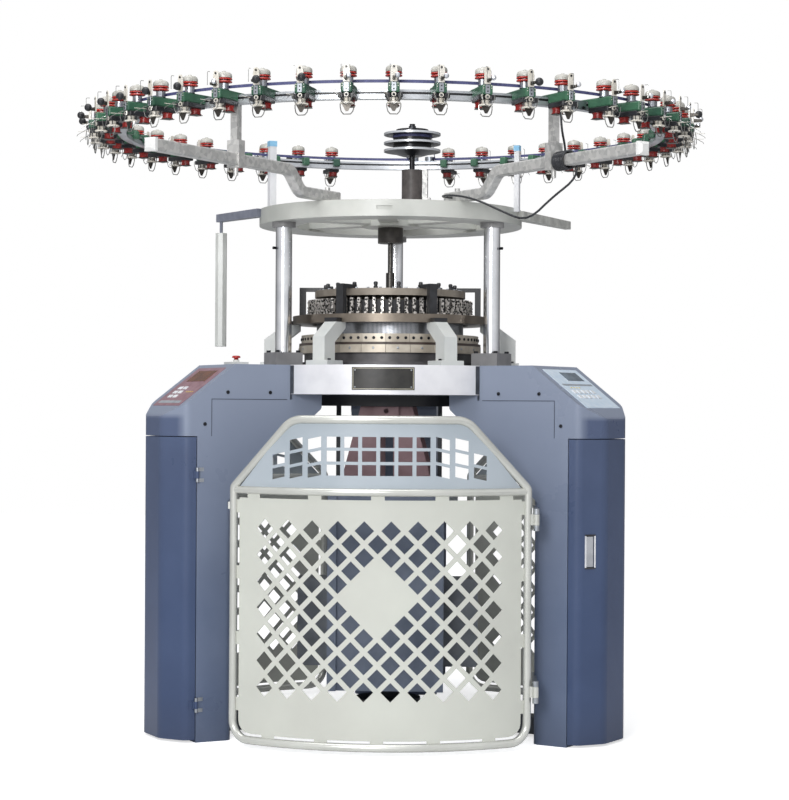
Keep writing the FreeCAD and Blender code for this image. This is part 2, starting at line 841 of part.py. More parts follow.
dial_plate = annulus(dial_plate_hole, dial_plate_radius, dial_plate_bottom, dial_plate_top)
save("dial_cam_plate", [dial_plate])

cylinder_low = bed_bottom - cylinder_drop
needle_cylinder = annulus(needle_cylinder_inner, needle_cylinder_outer, cylinder_low, needle_cylinder_top)
drive_gear = annulus(gear_inner, gear_outer, cylinder_low, bed_top - gear_drop)
save("needle_cylinder", [needle_cylinder.fuse(drive_gear).removeSplitter()])

dial = rod(dial_radius, 0, 0, dial_bottom, dial_top)
dial = dial.cut(rod(dial_hollow_radius, 0, 0, dial_bottom - 1, dial_bottom + dial_hollow_depth))
low_shaft = rod(shaft_low_radius, 0, 0, dial_top, shaft_step)
high_shaft = rod(shaft_high_radius, 0, 0, shaft_step, crown_top - shaft_seat)
save("needle_dial", [fused([dial, low_shaft, high_shaft])])

# ---------------------------------------------------------------- columns and crown
collar_low = crown_bottom - column_collar_height
column = rod(column_radius, column_orbit, 0, bed_top + column_foot_height, collar_low)
foot_half = column_foot_side / 2
foot = block(
    column_orbit - foot_half, column_orbit + foot_half, -foot_half, foot_half,
    bed_top, bed_top + column_foot_height)
collar = rod(column_collar_radius, column_orbit, 0, collar_low, crown_bottom)
knob_seat = V(column_orbit + column_radius - 2, 0, crown_bottom - column_knob_drop)
knob = Part.makeCylinder(column_knob_radius, column_knob_length, knob_seat, V(1, 0, 0))
column_parts = [column.fuse(knob).removeSplitter(), foot, collar]
save("columns", [turned(piece, azimuth) for piece in column_parts for azimuth in leg_azimuths])

crown = annulus(crown_inner, crown_outer, crown_bottom, crown_top)
hub = rod(crown_hub_radius, 0, 0, crown_bottom, crown_top)
boss = rod(crown_boss_radius, 0, 0, hub_bottom, crown_bottom)
spoke_half = crown_spoke_width / 2
spoke = block(
    crown_hub_radius - 15, crown_inner + 20, -spoke_half, spoke_half,
    crown_bottom + crown_spoke_inset, crown_top - crown_spoke_inset)
spokes = all_round(spoke, [30 + index * 360.0 / spoke_count for index in range(spoke_count)])
crown = crown.fuse([hub, boss] + spokes)
shaft_bore = rod(shaft_high_radius + bore_clearance, 0, 0, hub_bottom - 1, crown_top - shaft_seat + 1)
crown = crown.cut(shaft_bore)
slot_low = crown_bottom + slot_lift
slot = sector(crown_outer - slot_depth, crown_outer + 5, slot_low, slot_low + slot_height, slot_half_angle)
crown = crown.cut(turned(slot, front_azimuth))
save("crown_ring", [crown.removeSplitter()])


# ---------------------------------------------------------------- lamp arms and capped posts
def tapered_arm(root, tip, root_half, tip_half, z0, z1):
    """Flat-sided arm between two plan points, wider at its root."""
    along = (tip - root).normalize()
    side = V(-along.y, along.x, 0)
    corners = [root - side * root_half, tip - side * tip_half, tip + side * tip_half, root + side * root_half]
    arm = plan_profile([(corner.x, corner.y) for corner in corners], z0, z1)
    return arm.cut(rod(crown_outer, 0, 0, 0, 3000))


lamp_arm = tapered_arm(
    lamp_arm_root, lamp_arm_tip, lamp_arm_root_half, lamp_arm_tip_half, lamp_arm_low, lamp_arm_high)
second_arm = tapered_arm(
    second_arm_root, second_arm_tip, second_arm_root_half, second_arm_tip_half, second_arm_low, second_arm_high)
lamp_spot = lamp_arm_root + (lamp_arm_tip - lamp_arm_root) * lamp_arm_share
lamp_rod = rod(lamp_rod_radius, lamp_spot.x, lamp_spot.y, lamp_high, lamp_arm_low)
lamp_body = regular_prism(8, lamp_half, lamp_spot.x, lamp_spot.y, lamp_low, lamp_high)
save("lamp_bar", [lamp_body])
save("lamp_arms", [lamp_arm, second_arm, lamp_rod])


def square_post(half, orbit, azimuth, z0, z1):
    return turned(block(orbit - half, orbit + half, -half, half, z0, z1), azimuth)


left_cap_half = left_post_half + post_cap_wall
right_cap_half = right_post_half + post_cap_wall
left_cap_low = left_post_top - post_cap_height
right_cap_low = right_post_top - post_cap_height
right_foot_plate = turned(
    block(crown_outer - 1, right_post_orbit - right_post_half + 1, -right_post_half, right_post_half,
          right_post_foot, crown_top), right_post_azimuth).cut(rod(crown_outer, 0, 0, 0, 3000))
right_post = square_post(right_post_half, right_post_orbit, right_post_azimuth, right_post_foot, right_cap_low)
right_post = fused([right_post.cut(rod(crown_outer, 0, 0, 0, 3000)), right_foot_plate])
save("capped_posts", [
    square_post(left_post_half, left_post_orbit, left_post_azimuth, crown_top, left_cap_low),
    square_post(left_cap_half, left_post_orbit, left_post_azimuth, left_cap_low, left_post_top),
    right_post,
    square_post(right_cap_half, right_post_orbit, right_post_azimuth, right_cap_low, right_post_top),
])

# ---------------------------------------------------------------- goose-neck ring arms
foot_axis = crown_top + ring_arm_half
half_run = arm_rise_run / 2
arm_path = [
    V(arm_foot_start, 0, foot_axis),
    V(arm_rise_middle - half_run, 0, foot_axis),
    V(arm_rise_middle + half_run, 0, arm_level_height),
    V(arm_tip_out, 0, arm_level_height),
]
arm_spine = Part.Wire(rounded_path(arm_path, [arm_bend_radius, arm_bend_radius]))


def rounded_square(half, corner, middle):
    """Closed wire of a square tube's section across the X axis, centred on a point."""
    flat = half - corner
    edges = []
    for quarter in range(4):
        angle = quarter * math.pi / 2
        right = V(0, math.cos(angle), math.sin(angle))
        ahead = V(0, -math.sin(angle), math.cos(angle))
        centre = middle + right * flat + ahead * flat
        start = centre + right * corner
        end = centre + ahead * corner
        crest = centre + (right + ahead).normalize() * corner
        edges.append(Part.LineSegment(middle + right * half - ahead * flat, start).toShape())
        edges.append(Part.Arc(start, crest, end).toShape())
    return Part.Wire(edges)


arm_section = rounded_square(ring_arm_half, ring_arm_corner, V(arm_foot_start, 0, foot_axis))
ring_arm = arm_spine.makePipeShell([arm_section], True, False)
if ring_arm.ShapeType == "Shell":
    ring_arm = Part.Solid(ring_arm)
arm_top = crown_top + 2 * ring_arm_half
foot_bolt = rod(foot_bolt_radius, foot_bolt_orbit, 0, arm_top, arm_top + foot_bolt_height)
cap_side = ring_arm_half + arm_cap_wall
cap_block = block(
    arm_tip_out, arm_tip_out + arm_cap_length, -cap_side, cap_side,
    arm_level_height - cap_side, arm_level_height + cap_side)
tip_edges = [edge for edge in cap_block.Edges if edge.BoundBox.XMin > arm_tip_out + arm_cap_length - 2]
cap_block = cap_block.makeChamfer(arm_cap_chamfer, tip_edges)
arm_trim = all_round(foot_bolt, ring_arm_azimuths) + all_round(cap_block, ring_arm_azimuths)
save("ring_arms", all_round(ring_arm, ring_arm_azimuths) + arm_trim)

# Posts from the arms up to the ring, and the clamps that hold them.
post_base = arm_level_height + ring_arm_half
ring_post = block(
    post_radius - post_half, post_radius + post_half, -post_half, post_half, post_base, ring_bottom)
clamp = block(
    post_radius - clamp_half_length, post_radius + clamp_half_length,
    -ring_arm_half - clamp_wall, ring_arm_half + clamp_wall, clamp_low, clamp_high)
arm_channel = block(
    post_radius - 2 * clamp_half_length, post_radius + 2 * clamp_half_length, -ring_arm_half, ring_arm_half,
    arm_level_height - ring_arm_half, post_base)
clamp = clamp.cut(arm_channel)
clamp = clamp.cut(block(
    post_radius - post_half, post_radius + post_half, -post_half, post_half, post_base - 1, clamp_high + 1))
clamp_eye = rod(clamp_eye_radius, post_radius, 0, clamp_low - eye_drop, clamp_low)
clamp = clamp.fuse(clamp_eye)
clamps = all_round(clamp.removeSplitter(), ring_arm_azimuths)
save("ring_posts", all_round(ring_post, ring_arm_azimuths) + clamps)

# ---------------------------------------------------------------- feeder ring and belt
save("feeder_ring", [annulus(ring_inner, ring_outer, ring_bottom, ring_top)])
joint_half_angle = math.degrees(joint_plate_half / ring_outer)
joint_plate = sector(ring_outer, ring_outer + joint_plate_thickness, ring_bottom, ring_top, joint_half_angle)
joint_parts = all_round(joint_plate, joint_plate_azimuths)
strap_top = ring_top + strap_thickness
strap_corners = [
    (tensioner_left - strap_margin, ring_inner + 2), (tensioner_right + strap_margin, ring_inner + 2),
    (tensioner_right + strap_margin, tensioner_forward + strap_margin - 1),
    (tensioner_left - strap_margin, tensioner_forward + strap_margin - 1)]
strap = plan_profile(strap_corners, ring_top, strap_top)
rollers = []
for side in [tensioner_left, tensioner_right]:
    rollers.append(rod(tensioner_radius, side, tensioner_forward, strap_top, belt_high + 2))
joint_parts.append(fused([strap] + rollers))
save("ring_joint_plates", joint_parts)

pulley_angle = math.radians(pulley_azimuth)
pulley_x = pulley_orbit * math.cos(pulley_angle)
pulley_y = pulley_orbit * math.sin(pulley_angle)
wrap_inner = pulley_groove_radius + belt_play
wrap_outer = wrap_inner + belt_thickness
belt_ring = annulus(belt_radius, belt_radius + belt_thickness, belt_low, belt_high)
gap_left = tensioner_left - tensioner_radius - belt_play - belt_thickness
gap_right = tensioner_right + tensioner_radius + belt_play + belt_thickness
belt_gap = block(gap_left, gap_right, 0, 2 * belt_radius, belt_low - 1, belt_high + 1)
belt_ring = belt_ring.cut(belt_gap)
join_right = math.sqrt(belt_radius ** 2 - gap_right ** 2) + 2 * belt_thickness
join_left = math.sqrt(belt_radius ** 2 - gap_left ** 2) + 2 * belt_thickness
left_tangent = pulley_x - wrap_inner
right_tangent = pulley_x + wrap_inner
right_run = plan_profile([
    (right_tangent, pulley_y), (right_tangent + belt_thickness, pulley_y),
    (gap_right + 1, join_right), (gap_right - belt_thickness, join_right)], belt_low, belt_high)
left_run = plan_profile([
    (left_tangent - belt_thickness, pulley_y), (left_tangent, pulley_y),
    (gap_left + belt_thickness, join_left), (gap_left - 1, join_left)], belt_low, belt_high)
wrap = rod(wrap_outer, pulley_x, pulley_y, belt_low, belt_high)
wrap = wrap.cut(rod(wrap_inner, pulley_x, pulley_y, belt_low - 1, belt_high + 1))
wrap = wrap.cut(block(pulley_x - 200, pulley_x + 200, pulley_y, pulley_y + 200, belt_low - 1, belt_high + 1))
belt = belt_ring.fuse([right_run, left_run, wrap]).removeSplitter()
save("feeder_belt", [belt])

# ---------------------------------------------------------------- yarn feeders
feeder_azimuths = []
for start, count, direction in zip(feeder_run_starts, feeder_run_counts, feeder_run_directions):
    for index in range(count):
        feeder_azimuths.append(round((start + direction * index * feeder_pitch) % 360.0, 2))
print("feeders", len(feeder_azimuths), sorted(feeder_azimuths))

ring_clear_in = ring_inner - feeder_ring_clearance
ring_clear_out = ring_outer + feeder_ring_clearance
ring_clear_top = ring_top + feeder_ring_clearance / 2
housing_points = [
    (feeder_tail, feeder_low),
    (feeder_tail + feeder_tail_draft, feeder_high),
    (feeder_front, feeder_high),
    (feeder_front, feeder_low),
    (ring_clear_out, feeder_low),
    (ring_clear_out, ring_clear_top),
    (ring_clear_in, ring_clear_top),
    (ring_clear_in, feeder_low),
]
housing_plan = plan_profile([
    (feeder_tail, -feeder_tail_half), (ring_outer, -feeder_half), (feeder_front, -feeder_half),
    (feeder_front, feeder_half), (ring_outer, feeder_half), (feeder_tail, feeder_tail_half)],
    feeder_low, feeder_high)
housing = side_profile(housing_points, feeder_half).common(housing_plan)
save("feeder_housings", all_round(housing, feeder_azimuths))

base_points = [
    (feeder_base_inner, -feeder_base_half + feeder_base_taper),
    (feeder_base_outer, -feeder_base_half),
    (feeder_base_outer, feeder_base_half),
    (feeder_base_inner, feeder_base_half - feeder_base_taper),
]
base = plan_profile(base_points, feeder_base_low, feeder_low)
store_ring = regular_prism(
    6, store_ring_radius, store_ring_centre, 0, feeder_base_low - store_ring_height, feeder_base_low)
save("feeder_bases", all_round(fused([base, store_ring]), feeder_azimuths))
drum_low = feeder_base_low - drum_height
drum = regular_prism(6, drum_radius, drum_centre, 0, drum_low, feeder_base_low)
save("feeder_drums", all_round(drum, feeder_azimuths))
disc = regular_prism(8, disc_radius, wheel_centre, 0, disc_low, disc_high)
wheel = regular_prism(6, wheel_radius, wheel_centre, 0, feeder_high, disc_low)
save("feeder_wheels", all_round(fused([disc, wheel]), feeder_azimuths))
cap_section = [(wheel_centre - cap_radius, disc_high), (wheel_centre - cap_tip_radius, cap_high),
               (wheel_centre + cap_tip_radius, cap_high), (wheel_centre + cap_radius, disc_high)]
cap = side_profile(cap_section, cap_radius * cap_width_share)
save("feeder_caps", all_round(cap, feeder_azimuths))
bracket = block(bracket_inner, feeder_front, -bracket_half, bracket_half, feeder_high, bracket_high)
sensor = block(feeder_front, sensor_outer, -sensor_half, sensor_half, sensor_low, sensor_high)
save("feeder_brackets", all_round(fused([bracket, sensor]), feeder_azimuths))
plate_back = drum_centre - guide_plate_back
plate_front = drum_centre + guide_plate_front
guide_plate = plan_profile([
    (plate_back, -guide_plate_back_half), (plate_front, -guide_plate_front_half),
    (plate_front, guide_plate_front_half), (plate_back, guide_plate_back_half)],
    drum_low - guide_plate_thickness, drum_low)
save("feeder_guides", all_round(guide_plate, feeder_azimuths))

# ---------------------------------------------------------------- yarn-feed drive pulleys
flange = plan_profile([
    (pulley_x - pulley_flange_half, pulley_y - pulley_flange_half),
    (pulley_x + pulley_flange_half, pulley_y - pulley_flange_half),
    (pulley_x + pulley_flange_half, pulley_y + pulley_flange_half),
    (pulley_x - pulley_flange_half, pulley_y + pulley_flange_half)],
    crown_top, crown_top + pulley_flange_height)
arm_space = block(arm_foot_start - 1, 600, -ring_arm_half - 1, ring_arm_half + 1, 0, 3000)
flange = flange.cut(turned(arm_space, ring_arm_azimuths[2]))
pulley_housing = rod(pulley_housing_radius, pulley_x, pulley_y, crown_top, pulley_housing_top)
pulley_housing = fused([pulley_housing, flange])
spindle_seat = pulley_housing_top - spindle_depth
spindle_space = rod(spindle_bore, pulley_x, pulley_y, spindle_seat, pulley_housing_top + 1)
pulley_housing = pulley_housing.cut(spindle_space)
save("pulley_housing", [pulley_housing])
pulleys = [rod(spindle_radius, pulley_x, pulley_y, spindle_seat + 1, pulley_top)]
for level in pulley_levels:
    pulleys.append(rod(pulley_radius, pulley_x, pulley_y, level - pulley_rim / 2, level + pulley_rim / 2))
cone_high = pulley_levels[0] - pulley_rim / 2
cone_low = cone_high - pulley_cone_height
cone_seat = V(pulley_x, pulley_y, cone_low)
pulleys.append(Part.makeCone(pulley_cone_radius, pulley_cone_top, pulley_cone_height, cone_seat, UP))
core_top = pulley_levels[2]
lid_top = core_top + pulley_lid_height
pulleys.append(rod(pulley_groove_radius, pulley_x, pulley_y, pulley_levels[0], core_top))
pulleys.append(rod(pulley_lid_radius, pulley_x, pulley_y, core_top, lid_top))
pulleys.append(rod(pulley_nut_radius, pulley_x, pulley_y, lid_top, pulley_top - 8))
save("quality_pulleys", [fused(pulleys)])
print("JOINT pulleys_at", (round(pulley_x, 3), round(pulley_y, 3)))


# ---------------------------------------------------------------- gates
# Closed tubular frame bent round the machine, with two perforated sheets.
def on_gate(angle, z, radius=gate_radius):
    return V(radius * math.cos(angle), radius * math.sin(angle), z)


corner_reach = math.hypot(gate_radius, gate_corner)
corner_angle = math.asin(gate_half_width / corner_reach)
bottom_end = corner_angle - math.atan(gate_corner / gate_radius)
gate_side = math.sqrt(corner_reach ** 2 - gate_half_width ** 2)
top_reach = math.hypot(gate_radius, gate_top_corner_run)
top_corner_angle = math.asin(gate_top_half_width / top_reach)
top_end = top_corner_angle - math.atan(gate_top_corner_run / gate_radius)
top_corner = V(top_reach * math.cos(top_corner_angle), gate_top_half_width, gate_top)
print("gate side tube forward", round(gate_side, 1))

side_points = [
    on_gate(bottom_end, gate_low),
    V(gate_side, gate_half_width, gate_low),
    V(gate_side, gate_half_width, gate_shoulder),
    top_corner,
    on_gate(top_end, gate_top),
]

bottom_arc = Part.Arc(on_gate(0, gate_low), on_gate(bottom_end / 2, gate_low), on_gate(bottom_end, gate_low))
top_arc = Part.Arc(on_gate(top_end, gate_top), on_gate(top_end / 2, gate_top), on_gate(0, gate_top))
side_edges = rounded_path(side_points, [gate_corner - 0.01, gate_shoulder_fillet, gate_top_fillet])
half_edges = [bottom_arc.toShape()] + side_edges + [top_arc.toShape()]
half_frame = round_tube(half_edges, gate_tube_radius)
other_half = half_frame.mirror(V(0, 0, 0), V(0, 1, 0))
mid_half_angle = math.asin(gate_half_width / gate_radius)
mid_arc = Part.Arc(on_gate(-mid_half_angle, gate_mid), on_gate(0, gate_mid), on_gate(mid_half_angle, gate_mid))
mid_tube = round_tube([mid_arc.toShape()], gate_tube_radius - 1)
gate_frame = half_frame.fuse([other_half, mid_tube]).removeSplitter()
print("gate frame", gate_frame.ShapeType, len(gate_frame.Solids), gate_frame.isValid())

# Hinge barrels on the frame and their pins on brackets from the neighbouring leg.
bracket_set = []
for height in gate_hinge_heights:
    low = height - gate_hinge_height / 2
    high = height + gate_hinge_height / 2
    lower_end = low + gate_hinge_height / 4
    upper_end = high - gate_hinge_height / 4
    barrel_low = lower_end + gate_knuckle_gap
    barrel_high = upper_end - gate_knuckle_gap
    barrel = rod(gate_knuckle_radius, gate_pin_forward, gate_pin_side, barrel_low, barrel_high)
    strap_back = V(gate_side - gate_pin_forward, gate_half_width - gate_pin_side, 0)
    strap = block(0, strap_back.Length, -4, 4, barrel_low, barrel_high)
    strap.rotate(V(0, 0, 0), UP, math.degrees(math.atan2(strap_back.y, strap_back.x)))
    strap.translate(V(gate_pin_forward, gate_pin_side, 0))
    barrel = barrel.fuse(strap)
    bore = rod(gate_pin_bore, gate_pin_forward, gate_pin_side, low - 1, high + 1)
    gate_frame = gate_frame.fuse(barrel).cut(bore)
    pin = rod(gate_pin_radius, gate_pin_forward, gate_pin_side, low, high)
    for z0, z1 in [(low, lower_end), (upper_end, high)]:
        knuckle = rod(gate_knuckle_radius, gate_pin_forward, gate_pin_side, z0, z1)
        arm = block(400, gate_pin_forward, gate_pin_side - 6, gate_pin_side + 6, z0, z1)
        pin = pin.fuse([knuckle, arm])
    back_strip = block(400, gate_pin_forward - 60, gate_pin_side - 6, gate_pin_side + 6, low, high)
    pin = pin.fuse(back_strip)
    bracket_set.append(pin)
neighbour_leg = turned(leg.fuse(cavity), 60)
trimmed = []
for pin in bracket_set:
    pieces = pin.cut(neighbour_leg).removeSplitter()
    trimmed.append(max(pieces.Solids, key=lambda solid: solid.Volume))
save("gate_hinges", [turned(pin, azimuth) for azimuth in gate_azimuths for pin in trimmed])

# Catch on the free side, closing against a keeper on the other leg.
latch = block(
    gate_side - latch_length, gate_side, -gate_half_width - latch_depth, -gate_half_width,
    latch_height - latch_half, latch_height + latch_half)
latch = latch.cut(rod(gate_tube_radius - 2, gate_side, -gate_half_width, 0, 2000))
gate_frame = gate_frame.fuse(latch)
gate_frame = gate_frame.removeSplitter()

sheet_in = gate_radius - gate_sheet / 2
sheet_out = gate_radius + gate_sheet / 2


def gate_cutter(points):
    """Prism through the sheet; points are arc lengths and heights on the sheet."""
    corners = [V(gate_radius, s, z) for s, z in points]
    face = Part.Face(Part.makePolygon(corners + [corners[0]]))
    cutter = face.extrude(V(60, 0, 0))
    cutter.translate(V(-30, 0, 0))
    return cutter


def sheet_piece(points):
    """Flat outline wrapped on the gate cylinder, drawn as lateral and height, pushed forward."""
    corners = [V(300, y, z) for y, z in points]
    face = Part.Face(Part.makePolygon(corners + [corners[0]]))
    body = face.extrude(V(700, 0, 0))
    shell = annulus(sheet_in, sheet_out, 0, gate_top + 50)
    shell = shell.common(block(300, 900, -700, 700, 0, gate_top + 50))
    return shell.common(body)


def chamfered(half_width, low, high, corner, steps=4):
    points = [(-half_width, high), (half_width, high)]
    for side in [1, -1]:
        for index in range(steps + 1):
            angle = math.pi / 2 * index / steps
            if side == -1:
                angle = math.pi / 2 - angle
            y = side * (half_width - corner + corner * math.cos(angle))
            z = low + corner - corner * math.sin(angle)
            points.append((y, z))
    return points


lower_outline = chamfered(lower_sheet_half, lower_sheet_low, lower_sheet_high, lower_sheet_corner)
lower_sheet = sheet_piece(lower_outline)
tabs = []
tab_half = tab_width / 2


def tab(y0, y1, z0, z1):
    return sheet_piece([(y0, z0), (y1, z0), (y1, z1), (y0, z1)])


side_tab_start = lower_sheet_half - tab_root
for level in side_tab_heights:
    tabs.append(tab(side_tab_start, gate_half_width, level - tab_half, level + tab_half))
    tabs.append(tab(-gate_half_width, -side_tab_start, level - tab_half, level + tab_half))
for side in top_tab_sides:
    tabs.append(tab(side - tab_half, side + tab_half, lower_sheet_high - tab_root, gate_mid))
for side in bottom_tab_sides:
    tabs.append(tab(side - tab_half, side + tab_half, gate_low, lower_sheet_low + tab_root))
lower_sheet = lower_sheet.fuse(tabs)
upper_outline = [
    (-gate_half_width + 14, gate_mid),
    (gate_half_width - 14, gate_mid),
    (gate_top_half_width, gate_top),
    (-gate_top_half_width, gate_top),
]
upper_sheet = sheet_piece(upper_outline)

diamond_half = diamond_diagonal / 2
cutters = []
pitch_angle = math.degrees(diamond_pitch / gate_radius)


def diamond(column, row_height):
    points = [(-diamond_half, row_height), (0, row_height - diamond_half),
              (diamond_half, row_height), (0, row_height + diamond_half)]
    return turned(gate_cutter(points), column * pitch_angle)


def is_blank(column, row_height):
    rows_away = abs(row_height - blank_centre_height) / diamond_pitch
    return abs(column) + rows_away < blank_reach


for row in range(diamond_rows):
    height = diamond_lowest + row * diamond_pitch
    for index in range(diamond_columns):
        column = index - (diamond_columns - 1) / 2
        if not is_blank(column, height):
            cutters.append(diamond(column, height))
    if row < diamond_rows - 1:
        between = height + diamond_pitch / 2
        for index in range(diamond_columns - 1):
            column = index - (diamond_columns - 2) / 2
            if not is_blank(column, between):
                cutters.append(diamond(column, between))
print("diamonds", len(cutters))
lower_sheet = lower_sheet.cut(Part.makeCompound(cutters))

windows = []
for row in range(3):
    height = window_low + row * window_rise
    count = 12 if row < 2 else 10
    for index in range(count):
        column = index - (count - 1) / 2
        outer = max(0.0, abs(column) - window_even_columns)
        side = math.copysign(1.0, column)
        along = side * (min(abs(column), window_even_columns) * window_pitch + outer * window_outer_pitch)
        drop = outer * window_pitch * window_lean * window_drop_share
        half = window_width / 2
        lean = side * window_lean * half if outer > 0 else 0.0
        tall = window_height / 2
        points = [(-half, height - drop - tall + lean), (half, height - drop - tall - lean),
                  (half, height - drop + tall - lean), (-half, height - drop + tall + lean)]
        windows.append(turned(gate_cutter(points), math.degrees(along / gate_radius)))
upper_sheet = upper_sheet.cut(Part.makeCompound(windows))

gate_envelope = half_frame.fuse([other_half, mid_tube])
lower_sheet = lower_sheet.cut(gate_envelope)
upper_sheet = upper_sheet.cut(gate_envelope)
lower_sheet = max(lower_sheet.Solids, key=lambda solid: solid.Volume)
upper_sheet = max(upper_sheet.Solids, key=lambda solid: solid.Volume)
gate_names = ["front", "right", "left"]
for name, azimuth in zip(gate_names, gate_azimuths):
    save("gate_frame_" + name, [turned(gate_frame, azimuth)])
    save("gate_panels_" + name, [turned(lower_sheet, azimuth), turned(upper_sheet, azimuth)])
    print("JOINT gate", name, swing(gate_pin_forward, gate_pin_side, azimuth))

# ---------------------------------------------------------------- feeder cable
# Points are radius along the arm, distance to its side and height, on the right front arm.
cable_top = (1055.2, -25.8, feeder_base_low)
coil_last = coil_start + coil_turns * coil_pitch
upper_route = [
    cable_top,
    (1055.2, -25.8, 2075.0),
    (coil_start, coil_radius, 2015.0),
    (coil_start, coil_radius, arm_level_height),
]
lower_route = [
    (coil_last, coil_radius, arm_level_height),
    (coil_last, coil_radius, 1905.0),
    (985.0, -5.0, 1850.0),
    (875.0, -25.0, 1775.0),
    (745.0, -35.0, 1820.0),
    (620.0, -52.0, 1870.0),
    (515.0, -76.0, 1893.0),
    (425.0, -80.0, 1893.0),
    (425.0, -ring_arm_half, 1893.0),
]


def cable_tube(name, route):
    """Round cable along the route; each bend is as large as its two runs allow."""
    points = [V(*point) for point in route]
    radii = []
    for index in range(1, len(points) - 1):
        before = points[index - 1] - points[index]
        after = points[index + 1] - points[index]
        turn = math.pi - before.getAngle(after)
        shorter = min(before.Length, after.Length)
        radii.append(0.45 * shorter / math.tan(turn / 2))
    edges = rounded_path(points, radii)
    tube = round_tube(edges, cable_radius)
    length = sum(edge.Length for edge in edges)
    section = math.pi * cable_radius ** 2
    print(name, "length", round(length, 1), "radii", [round(radius, 1) for radius in radii])
    print(name, "volume over section times length", round(tube.Volume / (section * length), 4))
    return tube


def on_coil(turns):
    angle = 2 * math.pi * turns
    across = coil_radius * math.cos(angle)
    lift = -coil_radius * math.sin(angle)
    return V(coil_start + coil_pitch * turns, across, arm_level_height + lift)


def coil_heading(turns):
    if turns == 0 or turns == coil_turns:
        return V(0, 0, -1)
    angle = 2 * math.pi * turns
    rise = coil_pitch / (2 * math.pi)
    return V(rise, -coil_radius * math.sin(angle), -coil_radius * math.cos(angle)).normalize()


def two_arcs(start, heading, end, end_heading):
    """A pair of arcs that leave the start and reach the end in the given directions."""
    gap = end - start
    both = heading + end_heading
    share = 2 * (1 - heading.dot(end_heading))
    reach = gap.dot(both)
    run = (math.sqrt(reach ** 2 + share * gap.dot(gap)) - reach) / share
    joint = (start + heading * run + end - end_heading * run) * 0.5
    arcs = []
    for point, direction, far in [(start, heading, joint), (end, end_heading * -1, joint)]:
        chord = far - point
        side = (chord - direction * chord.dot(direction)).normalize()
        radius = chord.dot(chord) / (2 * chord.dot(side))
        centre = point + side * radius
        crest = centre + ((point - centre) + (far - centre)).normalize() * radius
        arcs.append((point, crest, far))
    first, last = arcs
    return [Part.Arc(*first).toShape(), Part.Arc(last[2], last[1], last[0]).toShape()]


coil_edges = []
for quarter in range(4 * coil_turns):
    begin = quarter / 4
    finish = (quarter + 1) / 4
    coil_edges += two_arcs(on_coil(begin), coil_heading(begin), on_coil(finish), coil_heading(finish))
coil_spine = Part.Wire(coil_edges)
coil_circle = Part.Wire([Part.Circle(on_coil(0), V(0, 0, -1), cable_radius).toShape()])
coil = coil_spine.makePipeShell([coil_circle], True, False)
coil_length = coil_spine.Length
coil_volume = math.pi * cable_radius ** 2 * coil_length
print("coil length", round(coil_length, 1), "volume over section times length", round(coil.Volume / coil_volume, 4))
coil_points = []
for edge in coil_edges:
    for step in range(8):
        share = edge.FirstParameter + (edge.LastParameter - edge.FirstParameter) * step / 8
        coil_points.append(edge.valueAt(share))
points_per_turn = len(coil_points) // coil_turns
least = min(
    (coil_points[index] - coil_points[other]).Length
    for index in range(len(coil_points))
    for other in range(index + points_per_turn // 2, min(len(coil_points), index + 3 * points_per_turn // 2)))
print("coil least gap to itself", round(least - 2 * cable_radius, 2))
cable_parts = [cable_tube("upper cable", upper_route), cable_tube("lower cable", lower_route)]
save("feeder_cable", all_round(cable_parts[0], [cable_arm_azimuth]) + all_round(cable_parts[1], [cable_arm_azimuth]))
save("feeder_cable_coil", [turned(coil, cable_arm_azimuth)])

# ---------------------------------------------------------------- take-down frame
take_ring = annulus(gear_inner + 5, gear_outer - 6, yoke_ring_low, bed_bottom - 2)


def front_and_back(shape):
    return [shape, turned(shape, 180)]


wing_points = [
    (-wing_top_half, yoke_ring_low), (wing_top_half, yoke_ring_low),
    (wing_low_half, wing_low), (-wing_low_half, wing_low)]
wing_face = Part.Face(Part.makePolygon([V(0, y, z) for y, z in wing_points + [wing_points[0]]]))
wing_plate = moved(wing_face.extrude(V(wing_thickness, 0, 0)), wing_forward, 0, 0)
wing_plate = wing_plate.cut(block(0, 400, -wing_slot_half, wing_slot_half, wing_low + 30, yoke_block_low - 8))
front_block = block(
    wing_forward + wing_thickness, yoke_block_forward, -yoke_block_half, yoke_block_half,
    yoke_block_low, yoke_ring_low)
hole = Part.makeCylinder(yoke_hole_radius, 200, V(180, 0, 1142), V(1, 0, 0))
front_block = front_block.cut(hole)
wing_plate = wing_plate.cut(hole)
hanger = fused([wing_plate, front_block])
panel = block(wing_forward, wing_forward + 4, -panel_half, panel_half, panel_low, wing_low)
bars = []
for side in [-1, 1]:
    bars.append(block(
        wing_forward - 8, wing_forward - 8 + 2 * bar_half, side * bar_offset - bar_half,
        side * bar_offset + bar_half, panel_low, wing_low + 20))
yaw = front_azimuth
frame_parts = [take_ring] + all_round(hanger, [yaw, yaw + 180])

end_plate = block(
    -end_plate_forward, end_plate_forward, end_plate_inner, end_plate_outer, side_plate_low, side_plate_high)
opposite_plate = end_plate.mirror(V(0, 0, 0), V(0, 1, 0))
roller_seats = []
roller_axes = [
    (-draw_roller_spread, draw_roller_height),
    (draw_roller_spread, draw_roller_height),
    (0.0, cloth_roller_height),
]
for forward, height in roller_axes:
    seat = Part.makeCylinder(
        roller_pin_radius + bore_clearance, 500, V(forward, -250, height), V(0, 1, 0))
    roller_seats.append(seat)
carrier = Part.makeCompound(roller_seats)
upright = block(-30, 30, end_plate_outer, end_plate_outer + 14, side_plate_high - 60, yoke_ring_low)
other_upright = upright.mirror(V(0, 0, 0), V(0, 1, 0))
floor_plate = block(-60, 60, -end_plate_outer, end_plate_outer, side_plate_low - 16, side_plate_low)
cage = end_plate.fuse([opposite_plate, upright, other_upright, floor_plate]).cut(carrier)
